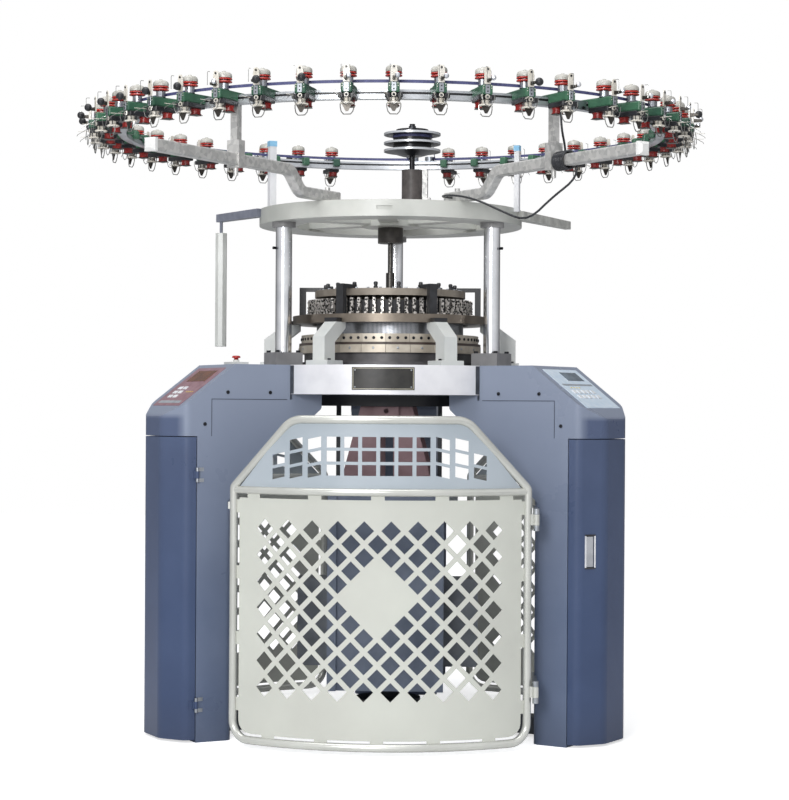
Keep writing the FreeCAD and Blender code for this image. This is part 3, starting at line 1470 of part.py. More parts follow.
pivot = rod(pivot_radius, 0, 0, floor_hub_top - 49, side_plate_low - 16)
save("take_down_cage", [turned(fused([cage, pivot]), yaw)])
panels = all_round(fused([panel] + bars), [yaw, yaw + 180])
save("take_down_hangers", frame_parts + panels)
side_cover = block(
    -70, 70, end_plate_outer, side_plate_outer, side_plate_low + 60, side_plate_high - 70)
save("take_down_gearboxes", all_round(side_cover, [yaw, yaw + 180]))

roller_names = ["draw_roller_front", "draw_roller_back", "cloth_roller"]
roller_radii = [draw_roller_radius, draw_roller_radius, cloth_roller_radius]
for name, radius, axis in zip(roller_names, roller_radii, roller_axes):
    forward, height = axis
    drum_part = Part.makeCylinder(
        radius, 2 * roller_half_length, V(forward, -roller_half_length, height), V(0, 1, 0))
    pin_part = Part.makeCylinder(
        roller_pin_radius, 2 * end_plate_outer - 2, V(forward, 1 - end_plate_outer, height), V(0, 1, 0))
    roller = fused([drum_part, pin_part])
    save(name, [turned(roller, yaw)])
    print("JOINT roller", name, swing(forward, 0, yaw), height)

# ---------------------------------------------------------------- floor frame and motor
floor_frame = rod(floor_hub_radius, 0, 0, 0, floor_hub_top)
beam = block(0, leg_inner, -floor_beam_half, floor_beam_half, floor_beam_low, floor_beam_top)
floor_frame = floor_frame.fuse(all_round(beam, leg_azimuths))
pivot_hole = rod(pivot_radius + bore_clearance, 0, 0, floor_hub_top - 50, floor_hub_top + 1)
floor_frame = floor_frame.cut(pivot_hole)
save("base_frame", [floor_frame.removeSplitter()])
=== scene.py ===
import bmesh
import bpy
import math
import random
from mathutils import Matrix, Vector


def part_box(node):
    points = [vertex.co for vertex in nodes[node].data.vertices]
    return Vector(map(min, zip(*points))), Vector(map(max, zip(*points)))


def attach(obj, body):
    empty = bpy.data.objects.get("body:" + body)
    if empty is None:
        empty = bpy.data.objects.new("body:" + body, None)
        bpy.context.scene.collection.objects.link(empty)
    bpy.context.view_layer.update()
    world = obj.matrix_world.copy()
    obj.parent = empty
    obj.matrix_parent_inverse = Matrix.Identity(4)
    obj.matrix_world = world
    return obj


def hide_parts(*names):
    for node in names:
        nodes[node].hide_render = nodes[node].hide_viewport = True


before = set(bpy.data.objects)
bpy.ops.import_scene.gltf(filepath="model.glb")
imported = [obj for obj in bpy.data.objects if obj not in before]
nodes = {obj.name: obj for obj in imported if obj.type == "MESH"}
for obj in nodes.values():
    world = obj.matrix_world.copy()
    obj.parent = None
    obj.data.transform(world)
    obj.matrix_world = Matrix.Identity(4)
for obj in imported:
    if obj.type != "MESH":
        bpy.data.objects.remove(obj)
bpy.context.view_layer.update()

# ---------------------------------------------------------------- view and studio
# The camera stands in front of the machine, level, a little over a metre from the floor.
# The studio is a white floor in a white room, with one wide soft lamp in front and one above.
scene = bpy.context.scene
scene.view_settings.view_transform = "Standard"
camera_data = bpy.data.cameras.new("front_camera")
camera_data.sensor_fit = "HORIZONTAL"
camera_data.sensor_width = 36.0
picture_width = 789
focal_pixels = 2060
shift_right = 5.0
shift_up = 7.0
camera_data.lens = focal_pixels / picture_width * camera_data.sensor_width
camera_data.shift_x = shift_right / picture_width
camera_data.shift_y = shift_up / picture_width
camera_data.clip_end = 60.0
camera = bpy.data.objects.new("front_camera", camera_data)
scene.collection.objects.link(camera)
camera_azimuth = math.radians(272.6)
camera_distance = 7.6
camera_height = 1.157
camera_roll = math.radians(-0.35)
camera.location = (
    camera_distance * math.cos(camera_azimuth), camera_distance * math.sin(camera_azimuth), camera_height)
camera.rotation_euler = (math.pi / 2, camera_roll, camera_azimuth + math.pi / 2)
scene.camera = camera


def linear(code):
    """Linear colour of an sRGB hex code."""
    parts = [int(code[place:place + 2], 16) / 255 for place in (0, 2, 4)]
    return [part / 12.92 if part <= 0.04045 else ((part + 0.055) / 1.055) ** 2.4 for part in parts] + [1.0]


def add_node(tree, kind, values=None, links=None, stops=None, **settings):
    """A node with its settings, socket values and links; a linked node stands for its first output."""
    node = tree.nodes.new(kind)
    for index, (position, code) in enumerate(stops or []):
        if index > 1:
            node.color_ramp.elements.new(position)
        node.color_ramp.elements[index].position = position
        node.color_ramp.elements[index].color = linear(code)
    for key, value in settings.items():
        setattr(node, key, value)
    for key, value in (values or {}).items():
        node.inputs[key].default_value = value
    for key, source in (links or {}).items():
        tree.links.new(source.outputs[0] if isinstance(source, bpy.types.Node) else source, node.inputs[key])
    return node


def blank_material(name):
    """A new material and its empty node tree."""
    material = bpy.data.materials.new(name)
    material.use_nodes = True
    material.node_tree.nodes.clear()
    return material, material.node_tree


world = bpy.data.worlds.new("studio")
scene.world = world
world.use_nodes = True
room = world.node_tree
room.nodes.clear()
rays = add_node(room, "ShaderNodeLightPath")
through = add_node(room, "ShaderNodeMath", links={
    0: rays.outputs["Is Camera Ray"], 1: rays.outputs["Is Transmission Ray"]}, operation="MAXIMUM")
heading = add_node(room, "ShaderNodeTexCoord").outputs["Generated"]
toward_front = add_node(
    room, "ShaderNodeVectorMath", {1: (0.0, -0.70, 0.70)}, {0: heading}, operation="DOT_PRODUCT").outputs["Value"]
sky_strength = add_node(
    room, "ShaderNodeMapRange", {"From Min": -0.10, "From Max": 0.98, "To Min": 0.06, "To Max": 0.80},
    {0: toward_front})
soft_grey = add_node(room, "ShaderNodeBackground", {"Color": linear("f4f6fa")}, {"Strength": sky_strength})
plain_white = add_node(room, "ShaderNodeBackground", {"Color": linear("ffffff"), "Strength": 1.0})
mirror_strength = add_node(
    room, "ShaderNodeMapRange", {"From Min": -0.5, "From Max": 0.65, "To Min": 0.16, "To Max": 1.0},
    {0: toward_front})
mirrored_room = add_node(room, "ShaderNodeBackground", {"Color": linear("fbfbfd")}, {"Strength": mirror_strength})
unmirrored = add_node(room, "ShaderNodeMixShader", links={0: through, 1: soft_grey, 2: plain_white})
surround = add_node(room, "ShaderNodeMixShader", links={
    0: rays.outputs["Is Glossy Ray"], 1: unmirrored, 2: mirrored_room})
add_node(room, "ShaderNodeOutputWorld", links={"Surface": surround})

lamp_aim = Vector((0.0, 0.0, 1.1))
for name, place, size, power in [
        ("lamp_front", (-1.5, -7.5, 3.0), 2.2, 215.0),
        ("lamp_above", (-0.6, -1.2, 5.2), 3.2, 105.0)]:
    light = bpy.data.lights.new(name, "AREA")
    light.shape = "DISK"
    light.size = size
    light.energy = power
    lamp = bpy.data.objects.new(name, light)
    lamp.location = place
    lamp.rotation_euler = (lamp_aim - Vector(place)).to_track_quat("-Z", "Y").to_euler()
    scene.collection.objects.link(lamp)

floor_mesh = bpy.data.meshes.new("studio_floor")
reach = 14.0
corners = [(-reach, -reach, 0), (reach, -reach, 0), (reach, reach, 0), (-reach, reach, 0)]
floor_mesh.from_pydata(corners, [], [(0, 1, 2, 3)])
floor = bpy.data.objects.new("studio_floor", floor_mesh)
scene.collection.objects.link(floor)
floor_paint, tree = blank_material("studio_floor_matt_white")
floor_rays = add_node(tree, "ShaderNodeLightPath")
lit_floor = add_node(tree, "ShaderNodeBsdfDiffuse", {"Color": linear("fafafa")})
bright_floor = add_node(tree, "ShaderNodeEmission", {"Color": linear("ffffff"), "Strength": 0.64})
both = add_node(tree, "ShaderNodeAddShader", links={0: lit_floor, 1: bright_floor})
shown = add_node(tree, "ShaderNodeMixShader", links={0: floor_rays.outputs["Is Camera Ray"], 1: lit_floor, 2: both})
add_node(tree, "ShaderNodeOutputMaterial", links={"Surface": shown})
floor_mesh.materials.append(floor_paint)

# ---------------------------------------------------------------- yarn-feed cable
# A black PVC-sheathed supply cable leaves the underside of a feeder, is wound seven times round
# the right-hand ring arm to take up its spare length, and hangs in a slack bow to the arm's foot.
cable_radius = 0.00375
cable_azimuth = math.radians(305.5)
coil_turns = 7
coil_pitch = 0.0086
coil_start = 1.010
coil_radius = 0.0285
coil_height = 1.965
points_per_turn = 12
upper_points = [(1.0552, -0.0258, 2.135), (1.0552, -0.0258, 2.075), (coil_start, coil_radius, 2.015)]
lower_points = [
    (coil_start + coil_turns * coil_pitch, coil_radius, 1.905),
    (0.985, -0.005, 1.850),
    (0.875, -0.025, 1.775),
    (0.745, -0.035, 1.820),
    (0.620, -0.052, 1.870),
    (0.515, -0.076, 1.893),
    (0.425, -0.080, 1.893),
    (0.425, -0.019, 1.893),
]
turn_points = []
polygon_radius = coil_radius / math.cos(math.pi / points_per_turn)
for index in range(coil_turns * points_per_turn + 1):
    angle = 2 * math.pi * index / points_per_turn
    along = coil_start + coil_pitch * index / points_per_turn
    turn_points.append((along, polygon_radius * math.cos(angle), coil_height - polygon_radius * math.sin(angle)))


def on_arm(u, v, z):
    """Point beside the right-hand ring arm: distance from the axis, offset to the side, height."""
    return (
        u * math.cos(cable_azimuth) - v * math.sin(cable_azimuth),
        u * math.sin(cable_azimuth) + v * math.cos(cable_azimuth), z)


cable_curve = bpy.data.curves.new("feeder_cable", "CURVE")
cable_curve.dimensions = "3D"
cable_curve.bevel_depth = cable_radius
cable_curve.bevel_resolution = 3
cable_curve.resolution_u = 4
cable_curve.use_fill_caps = True
spline = cable_curve.splines.new("NURBS")
route = [on_arm(*point) for point in upper_points + turn_points + lower_points]
spline.points.add(len(route) - 1)
for point, place in zip(spline.points, route):
    point.co = (*place, 1.0)
spline.order_u = 3
spline.use_endpoint_u = True
cable = bpy.data.objects.new("feeder_cable_run", cable_curve)
scene.collection.objects.link(cable)


def moulded(name, dark, light, roughness, mottle_mm=8.0, metallic=0.0):
    """Moulded or extruded material: one colour with a faint cloudy shade and a fine skin texture."""
    material, tree = blank_material(name)
    place = add_node(tree, "ShaderNodeTexCoord").outputs["Object"]
    cloud = add_node(tree, "ShaderNodeTexNoise", {"Scale": 1000.0 / mottle_mm / 4, "Detail": 4.0}, {"Vector": place})
    shade = add_node(tree, "ShaderNodeValToRGB", links={0: cloud}, stops=[(0.35, dark), (0.65, light)])
    skin = add_node(tree, "ShaderNodeTexNoise", {"Scale": 900.0, "Detail": 2.0}, {"Vector": place})
    relief = add_node(tree, "ShaderNodeBump", {"Strength": 0.08, "Distance": 0.0004}, {"Height": skin})
    gloss = add_node(tree, "ShaderNodeMapRange", {"To Min": roughness - 0.05, "To Max": roughness + 0.07}, {0: cloud})
    surface = add_node(
        tree, "ShaderNodeBsdfPrincipled", {"Metallic": metallic},
        {"Base Color": shade, "Roughness": gloss, "Normal": relief})
    add_node(tree, "ShaderNodeOutputMaterial", links={"Surface": surface})
    return material


cable_curve.materials.append(moulded("pvc_cable_sheath_extruded", "1b1c20", "313338", 0.26))
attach(cable, "frame")
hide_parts("feeder_cable", "feeder_cable_coil")

# ---------------------------------------------------------------- legs, top covers and leg doors
# Cast legs behind folded 2.5 mm sheet-steel doors and covers, all stove-enamelled in one blue-grey.
# The legs and covers take a lighter copy of it as painted light, the doors a darker copy as painted shade.
# The enamel has a fine orange peel, painted shade on the leg's nose, and is dulled by hands and lint.
# Its tone changes between these distances from the axis, at the leg's nose, and between these heights:
# under the covers' slope, lighter from low to high as painted light, and darker towards the floor at the foot.
nose_start, nose_full = 0.884, 0.900
slope_start, slope_full = 1.112, 1.130
painted_light_start, painted_light_full = 0.45, 1.25
darkening_height = 0.16


def plan_distance(tree, place, middle=(0.0, 0.0)):
    """Place in plan from an upright line, and the distance from that line."""
    plan = add_node(
        tree, "ShaderNodeMapping", {"Location": (-middle[0], -middle[1], 0.0), "Scale": (1.0, 1.0, 0.0)},
        {"Vector": place})
    distance = add_node(tree, "ShaderNodeVectorMath", links={0: plan}, operation="LENGTH")
    return plan, distance.outputs["Value"]


def stove_enamel(name, dark, light, painted_light_share, nose_shade_share):
    """Blue-grey enamel: cloudy tone, lint specks, darker low down, painted light up high, painted shade on the nose."""
    material, tree = blank_material(name)
    place = add_node(tree, "ShaderNodeTexCoord").outputs["Object"]
    split = add_node(tree, "ShaderNodeSeparateXYZ", links={0: place})
    cloud = add_node(tree, "ShaderNodeTexNoise", {"Scale": 2.2, "Detail": 5.0, "Roughness": 0.6}, {"Vector": place})
    shade = add_node(tree, "ShaderNodeValToRGB", links={0: cloud}, stops=[(0.3, dark), (0.7, light)])
    # Painted light: the enamel is lighter higher up.
    painted_light_up_high = add_node(
        tree, "ShaderNodeMapRange", {"From Min": painted_light_start, "From Max": painted_light_full, "To Max": painted_light_share},
        {0: split.outputs[2]})
    upward = add_node(tree, "ShaderNodeMixRGB", {"Color2": linear("a3abbb")}, {"Fac": painted_light_up_high, "Color1": shade})
    speck = add_node(tree, "ShaderNodeTexNoise", {"Scale": 60.0, "Detail": 6.0, "Roughness": 0.7}, {"Vector": place})
    lint = add_node(tree, "ShaderNodeMapRange", {"From Min": 0.66, "From Max": 0.74, "To Max": 0.18}, {0: speck})
    dusted = add_node(tree, "ShaderNodeMixRGB", {"Color2": linear("8a93a6")}, {"Fac": lint, "Color1": upward})
    # Darker towards the floor, at the foot of the leg.
    near_floor_mask = add_node(
        tree, "ShaderNodeMapRange", {"From Min": 0.0, "From Max": darkening_height, "To Min": 0.35, "To Max": 0.0},
        {0: split.outputs[2]})
    darkened_low = add_node(tree, "ShaderNodeMixRGB", {"Color2": linear("3a4050")}, {"Fac": near_floor_mask, "Color1": dusted})
    from_axis = plan_distance(tree, place)[1]
    # Painted shade: the leg's nose is darkened below the covers' slope.
    on_nose = add_node(
        tree, "ShaderNodeMapRange", {"From Min": nose_start, "From Max": nose_full, "To Max": nose_shade_share},
        {0: from_axis})
    under_slope = add_node(
        tree, "ShaderNodeMapRange", {"From Min": slope_start, "From Max": slope_full, "To Min": 1.0, "To Max": 0.0},
        {0: split.outputs[2]})
    nose = add_node(tree, "ShaderNodeMath", links={0: on_nose, 1: under_slope}, operation="MULTIPLY")
    finished = add_node(tree, "ShaderNodeMixRGB", {"Color2": linear("475473")}, {"Fac": nose, "Color1": darkened_low})
    peel = add_node(tree, "ShaderNodeTexNoise", {"Scale": 420.0, "Detail": 2.0}, {"Vector": place})
    relief = add_node(tree, "ShaderNodeBump", {"Strength": 0.12, "Distance": 0.0006}, {"Height": peel})
    gloss = add_node(tree, "ShaderNodeMapRange", {"To Min": 0.25, "To Max": 0.31}, {0: cloud})
    surface = add_node(
        tree, "ShaderNodeBsdfPrincipled", {"Specular IOR Level": 0.28},
        {"Base Color": finished, "Roughness": gloss, "Normal": relief})
    add_node(tree, "ShaderNodeOutputMaterial", links={"Surface": surface})
    return material


def dress(material, *names):
    """Gives CAD nodes their finish."""
    for name in names:
        for material_slot in nodes[name].material_slots:
            material_slot.material = material


# Lit and shaded copies of one enamel: lighter on legs and covers as painted light, darker on the doors as painted
# shade.
dress(stove_enamel("stove_enamel_legs_painted_light", "5b6780", "69758d", 0.55, 0.85), "legs", "top_covers")
dress(
    stove_enamel("stove_enamel_doors_painted_shade", "3a4867", "465575", 0.10, 0.0),
    "leg_door_left", "leg_door_right", "leg_door_back")


def bare_metal(name, dark, light, roughness, grain_mm=1.2, stretch=(1.0, 1.0, 12.0)):
    """Bare, plated or galvanised metal: cloudy tone, fine drawn grain and uneven gloss."""
    material, tree = blank_material(name)
    place = add_node(tree, "ShaderNodeTexCoord").outputs["Object"]
    cloud = add_node(tree, "ShaderNodeTexNoise", {"Scale": 14.0, "Detail": 5.0, "Roughness": 0.65}, {"Vector": place})
    shade = add_node(tree, "ShaderNodeValToRGB", links={0: cloud}, stops=[(0.3, dark), (0.7, light)])
    turned_grain = add_node(
        tree, "ShaderNodeMapping", {"Scale": [1000.0 / grain_mm / part / 4 for part in stretch]},
        {"Vector": place})
    grain = add_node(tree, "ShaderNodeTexNoise", {"Scale": 1.0, "Detail": 2.0}, {"Vector": turned_grain})
    relief = add_node(tree, "ShaderNodeBump", {"Strength": 0.15, "Distance": 0.0003}, {"Height": grain})
    gloss = add_node(tree, "ShaderNodeMapRange", {"To Min": roughness - 0.06, "To Max": roughness + 0.10}, {0: cloud})
    surface = add_node(
        tree, "ShaderNodeBsdfPrincipled", {"Metallic": 1.0},
        {"Base Color": shade, "Roughness": gloss, "Normal": relief})
    add_node(tree, "ShaderNodeOutputMaterial", links={"Surface": surface})
    return material


chrome = bare_metal("chromium_plate_polished", "c9ccd2", "e6e8ec", 0.14)
zinc = bare_metal("zinc_plated_steel", "8e9399", "b4b8be", 0.36)
black_oxide = moulded("black_oxide_screws", "15161a", "2a2c31", 0.38, metallic=0.6)
dress(chrome, "door_handle_left", "door_handle_right", "door_handle_back")
dress(zinc, "door_hinges", "gate_hinges", "leg_equipment")

# ---------------------------------------------------------------- cover screws, seams and handle frames
# Black button-head screws hold each folded cover to the cast leg, three on each side. A dark bead
# seals the cover's joint, and a moulded white frame lines the recess of each door handle.
copy_tree = bpy.data.node_groups.new("copies_on_marked_spots", "GeometryNodeTree")
copy_tree.interface.new_socket("Spots", in_out="INPUT", socket_type="NodeSocketGeometry")
unit_socket = copy_tree.interface.new_socket("Unit", in_out="INPUT", socket_type="NodeSocketObject")
finish_socket = copy_tree.interface.new_socket("Finish", in_out="INPUT", socket_type="NodeSocketMaterial")
copy_tree.interface.new_socket("Copies", in_out="OUTPUT", socket_type="NodeSocketGeometry")
given = add_node(copy_tree, "NodeGroupInput")
turn = add_node(copy_tree, "GeometryNodeInputNamedAttribute", {"Name": "turn"}, data_type="FLOAT_VECTOR")
unit_shape = add_node(copy_tree, "GeometryNodeObjectInfo", links={"Object": given.outputs["Unit"]})
placed = add_node(copy_tree, "GeometryNodeInstanceOnPoints", links={
    "Points": given.outputs["Spots"], "Instance": unit_shape.outputs["Geometry"], "Rotation": turn})
real = add_node(copy_tree, "GeometryNodeRealizeInstances", links={"Geometry": placed})
coloured = add_node(
    copy_tree, "GeometryNodeSetMaterial", links={"Geometry": real, "Material": given.outputs["Finish"]})
add_node(copy_tree, "NodeGroupOutput", links={0: coloured})


def copies(name, unit, spots, material, body="frame"):
    """One plain mesh of a unit shape copied to spots, each (place, turn as Euler angles)."""
    unit_mesh = bpy.data.meshes.new(name + "_unit")
    bmesh.ops.recalc_face_normals(unit, faces=unit.faces)
    unit.to_mesh(unit_mesh)
    unit.free()
    unit_object = bpy.data.objects.new(name + "_unit", unit_mesh)
    scene.collection.objects.link(unit_object)
    spot_mesh = bpy.data.meshes.new(name + "_spots")
    spot_mesh.from_pydata([place for place, _ in spots], [], [])
    turns = spot_mesh.attributes.new("turn", "FLOAT_VECTOR", "POINT")
    for index, (_, angles) in enumerate(spots):
        turns.data[index].vector = angles
    holder = bpy.data.objects.new(name + "_spots", spot_mesh)
    scene.collection.objects.link(holder)
    modifier = holder.modifiers.new("copies", "NODES")
    modifier.node_group = copy_tree
    modifier[unit_socket.identifier] = unit_object
    modifier[finish_socket.identifier] = material
    view_layer = bpy.context.evaluated_depsgraph_get()
    mesh = bpy.data.meshes.new_from_object(holder.evaluated_get(view_layer), depsgraph=view_layer)
    mesh.name = name
    bpy.data.objects.remove(holder)
    bpy.data.objects.remove(unit_object)
    result = bpy.data.objects.new(name, mesh)
    scene.collection.objects.link(result)
    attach(result, body)
    return result


def even_angles(count, phase=0.0, start=0.0):
    """Angles shared out evenly round an axis; the phase is a share of one pitch."""
    return [start + 2 * math.pi * (index + phase) / count for index in range(count)]


def lathe(shape, profile, centre=(0.0, 0.0), sides=16):
    """Adds a closed body of revolution about a vertical line; profile is (radius, height) upward."""
    rings = []
    for radius, height in profile:
        if radius == 0:
            rings.append([shape.verts.new((centre[0], centre[1], height))])
            continue
        rings.append([
            shape.verts.new((centre[0] + radius * math.cos(angle), centre[1] + radius * math.sin(angle), height))
            for angle in even_angles(sides)])
    for low, high in zip(rings, rings[1:]):
        for index in range(sides):
            after = (index + 1) % sides
            if len(low) == 1:
                shape.faces.new((low[0], high[after], high[index]))
            elif len(high) == 1:
                shape.faces.new((low[index], low[after], high[0]))
            else:
                shape.faces.new((low[index], low[after], high[after], high[index]))
    for ring, flip in [(rings[0], True), (rings[-1], False)]:
        if len(ring) > 1:
            shape.faces.new(list(reversed(ring)) if flip else ring)
    return shape


def button_head(radius, height, sides=12):
    """A round screw head with a dimple for its key."""
    return lathe(bmesh.new(), [
        (radius, 0.0), (radius, height * 0.4), (radius * 0.8, height * 0.85), (radius * 0.45, height),
        (radius * 0.4, height * 0.55), (0, height * 0.5)], sides=sides)


def one_piece(name, shape, material, body="frame", smooth=False):
    """Turns a finished shape into a piece that moves with a body."""
    bmesh.ops.recalc_face_normals(shape, faces=shape.faces)
    mesh = bpy.data.meshes.new(name)
    shape.to_mesh(mesh)
    shape.free()
    mesh.materials.append(material)
    if smooth:
        mesh.shade_smooth()
    result = bpy.data.objects.new(name, mesh)
    scene.collection.objects.link(result)
    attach(result, body)
    return result


def spot_at(azimuth, out, across, height):
    """Point in one direction from the machine's axis, at a distance, offset to the side, at a height."""
    return Matrix.Rotation(azimuth, 3, "Z") @ Vector((out, across, height))


def flat_bar(shape, plane, start, end, low, high, thickness):
    """Adds a flat bar to a plane, between two places along it and two heights."""
    bmesh.ops.create_cube(shape, size=1.0, matrix=(
        plane @ Matrix.Translation(((start + end) / 2, 0.0, (low + high) / 2))
        @ Matrix.Diagonal((end - start, thickness, high - low, 1.0))))


leg_azimuths = [math.radians(210.0), math.radians(330.0), math.radians(90.0)]
leg_side = 0.165
cover_face = leg_side + 0.0002
screw_places = [(0.800, 1.095), (0.715, 1.205), (0.555, 1.205)]
cover_screws = []
for azimuth in leg_azimuths:
    for side in [-1, 1]:
        for out, height in screw_places:
            cover_screws.append((
                spot_at(azimuth, out, side * cover_face, height),
                (math.pi / 2, 0.0, azimuth + (math.pi if side > 0 else 0.0))))
copies("cover_screws", button_head(0.0065, 0.0032), cover_screws, black_oxide)

# The joint of each cover is L-shaped: level below the bed, then down at the step behind the door.
bead_width = 0.0022
bead_thickness = 0.0008
seam_start, seam_corner = 0.490, 0.776
seam_foot, seam_level = 1.0530, 1.1798
seam_beads = bmesh.new()
for azimuth in leg_azimuths:
    for side in [-1, 1]:
        face = Matrix.Rotation(azimuth, 4, "Z") @ Matrix.Translation((0.0, side * cover_face, 0.0))
        flat_bar(seam_beads, face, seam_start, seam_corner, seam_level, seam_level + bead_width, bead_thickness)
        flat_bar(seam_beads, face, seam_corner - bead_width, seam_corner, seam_foot, seam_level, bead_thickness)
one_piece("cover_seam_beads", seam_beads, moulded("seam_sealant_dark_blue", "262c3a", "353d4f", 0.5))

# White frame with black end caps, on the slanting facet between the door's side and its nose.
handle_frame_white = moulded("handle_frame_white_plastic", "d9dadd", "ececee", 0.32)
handle_caps_black = moulded("handle_end_caps_black", "26272b", "38393f", 0.4)
bend_out, nose_out, nose_half = 0.868, 0.928, 0.075
frame_start, frame_end = 0.0270, 0.0680
frame_low, frame_high = 0.6090, 0.7270
frame_band = 0.0050
frame_thickness = 0.0022
frame_lift = 0.0009
facet_turn = math.atan2(leg_side - nose_half, nose_out - bend_out)
for door, azimuth in zip(["left", "right", "back"], leg_azimuths):
    facet = (
        Matrix.Rotation(azimuth, 4, "Z") @ Matrix.Translation((bend_out, -leg_side, 0.0))
        @ Matrix.Rotation(facet_turn, 4, "Z") @ Matrix.Translation((0.0, -frame_lift, 0.0)))
    frame_sides = bmesh.new()
    for start in (frame_start, frame_end - frame_band):
        flat_bar(
            frame_sides, facet, start, start + frame_band, frame_low + frame_band, frame_high - frame_band,
            frame_thickness)
    one_piece("handle_frame_sides_" + door, frame_sides, handle_frame_white, "door_" + door)
    frame_ends = bmesh.new()
    for low in (frame_low, frame_high - frame_band):
        flat_bar(frame_ends, facet, frame_start, frame_end, low, low + frame_band, frame_thickness)
    one_piece("handle_frame_ends_" + door, frame_ends, handle_caps_black, "door_" + door)

# ---------------------------------------------------------------- control labels and emergency stop
# Membrane keypads are printed polyester sheets glued to the front slopes, with domed keys.
# The left one is reddish with an amber display, the right one pale blue with rows of small keys.
cover_slope = math.radians(37.2)
cover_top = 1.303
label_inset = 0.018
label_top_out = 0.706
label_top_height = cover_top - label_inset * math.tan(cover_slope)


def on_slope(azimuth, down, across, lift):
    """Point on a cover's slope: metres down from the label's top edge, to the side and off the sheet."""
    out = label_top_out + down * math.cos(cover_slope) + lift * math.sin(cover_slope)
    height = label_top_height - down * math.sin(cover_slope) + lift * math.cos(cover_slope)
    return spot_at(azimuth, out, across, height)


def raised_pad(shape, azimuth, down, across, length, width, lift, height):
    """A small domed pad on the slope: a tile whose top is drawn in from its foot."""
    rows = []
    for inset, rise in [(0.0, 0.0), (0.0, 0.6 * height), (0.0012, height)]:
        rows.append([shape.verts.new(on_slope(azimuth, down + a, across + b, lift + rise)) for a, b in [
            (-length / 2 + inset, -width / 2 + inset), (length / 2 - inset, -width / 2 + inset),
            (length / 2 - inset, width / 2 - inset), (-length / 2 + inset, width / 2 - inset)]])
    for low, high in zip(rows, rows[1:]):
        for index in range(4):
            after = (index + 1) % 4
            shape.faces.new((low[index], low[after], high[after], high[index]))
    shape.faces.new(list(reversed(rows[0])))
    shape.faces.new(rows[-1])


def painted_in_parts(name, axis, limits, tones, roughness, mottle, skin=None):
    """A finish in cloudy tones that changes where one coordinate passes each limit.

    The mottle is the cloud's scale and detail, the skin a bump's scale, detail, strength and distance.
    """
    material, tree = blank_material(name)
    place = add_node(tree, "ShaderNodeTexCoord").outputs["Object"]
    split = add_node(tree, "ShaderNodeSeparateXYZ", links={0: place})
    cloud = add_node(tree, "ShaderNodeTexNoise", {"Scale": mottle[0], "Detail": mottle[1]}, {"Vector": place})
    shades = [
        add_node(tree, "ShaderNodeValToRGB", links={0: cloud}, stops=[(0.3, dark), (0.7, light)])
        for dark, light in tones]
    colour = shades[0]
    for limit, shade in zip(limits, shades[1:]):
        past = add_node(tree, "ShaderNodeMath", {1: limit}, {0: split.outputs[axis]}, operation="GREATER_THAN")
        colour = add_node(tree, "ShaderNodeMixRGB", links={"Fac": past, "Color1": colour, "Color2": shade})
    looks = {"Base Color": colour}
    if skin:
        scale, detail, strength, distance = skin
        grain = add_node(tree, "ShaderNodeTexNoise", {"Scale": scale, "Detail": detail}, {"Vector": place})
        looks["Normal"] = add_node(
            tree, "ShaderNodeBump", {"Strength": strength, "Distance": distance}, {"Height": grain})
    surface = add_node(tree, "ShaderNodeBsdfPrincipled", {"Roughness": roughness}, looks)
    add_node(tree, "ShaderNodeOutputMaterial", links={"Surface": surface})
    return material


label_lift = 0.0016
left_leg, right_leg = leg_azimuths[:2]
dress(painted_in_parts(
    "printed_polyester_keypad", "X", [0.0], [("86636c", "9d7c84"), ("cadcec", "dbe7f2")], roughness=0.35,
    mottle=(40.0, 4.0)), "label_panels")

keys = bmesh.new()
for row in range(3):
    for column in range(2):
        raised_pad(keys, left_leg, 0.118 + row * 0.024, -0.060 + column * 0.046, 0.016, 0.032, label_lift, 0.002)
for row in range(2):
    for column in range(5):
        raised_pad(keys, right_leg, 0.128 + row * 0.028, -0.080 + column * 0.034, 0.018, 0.024, label_lift, 0.002)
one_piece("keypad_keys", keys, moulded("keypad_keys_white", "d9dde2", "eef0f2", 0.40))
for name, azimuth, pad, window in [
        ("left_display", left_leg, (0.048, 0.0, 0.062, 0.170), ("display_window_amber", "5a3a2c", "7a4b33")),
        ("right_display", right_leg, (0.040, 0.030, 0.048, 0.120), ("display_window_grey", "56636e", "70808c"))]:
    display = bmesh.new()
    raised_pad(display, azimuth, *pad, label_lift, 0.0012)
    one_piece(name, display, moulded(*window, 0.18))
fields = bmesh.new()
raised_pad(fields, left_leg, 0.198, 0.0, 0.014, 0.200, label_lift, 0.0008)
raised_pad(fields, right_leg, 0.088, 0.0, 0.010, 0.220, label_lift, 0.0008)
one_piece("keypad_strips", fields, moulded("keypad_strip_grey", "8d949c", "a5abb2", 0.40))
lamps = bmesh.new()
for column in range(4):
    raised_pad(lamps, left_leg, 0.140, 0.040 + column * 0.018, 0.006, 0.006, label_lift, 0.0015)
    raised_pad(lamps, right_leg, 0.104, -0.070 + column * 0.020, 0.006, 0.006, label_lift, 0.0015)
one_piece("keypad_lamps", lamps, moulded("indicator_lamps_yellow", "c9b25a", "e0cf7c", 0.30))

dress(moulded("abs_stop_base_pale", "cfd0cc", "dddedb", 0.45), "estop_base")
stop_low, stop_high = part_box("estop_button")
stop_centre = ((stop_low[0] + stop_high[0]) / 2, (stop_low[1] + stop_high[1]) / 2)
head_low = stop_high[2] - 0.009
mushroom = lathe(bmesh.new(), [
    (0.0078, stop_low[2] + 0.0005), (0.0078, head_low), (0.0140, head_low + 0.0004), (0.0150, head_low + 0.0020),
    (0.0148, head_low + 0.0042), (0.0132, head_low + 0.0068), (0.0095, head_low + 0.0084), (0, stop_high[2])],
    centre=stop_centre, sides=32)
stop_red = moulded("stop_button_red", "9c1f1c", "b82a25", 0.28)
stop_head = one_piece("stop_mushroom", mushroom, stop_red, "estop_button", smooth=True)
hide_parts("estop_button")

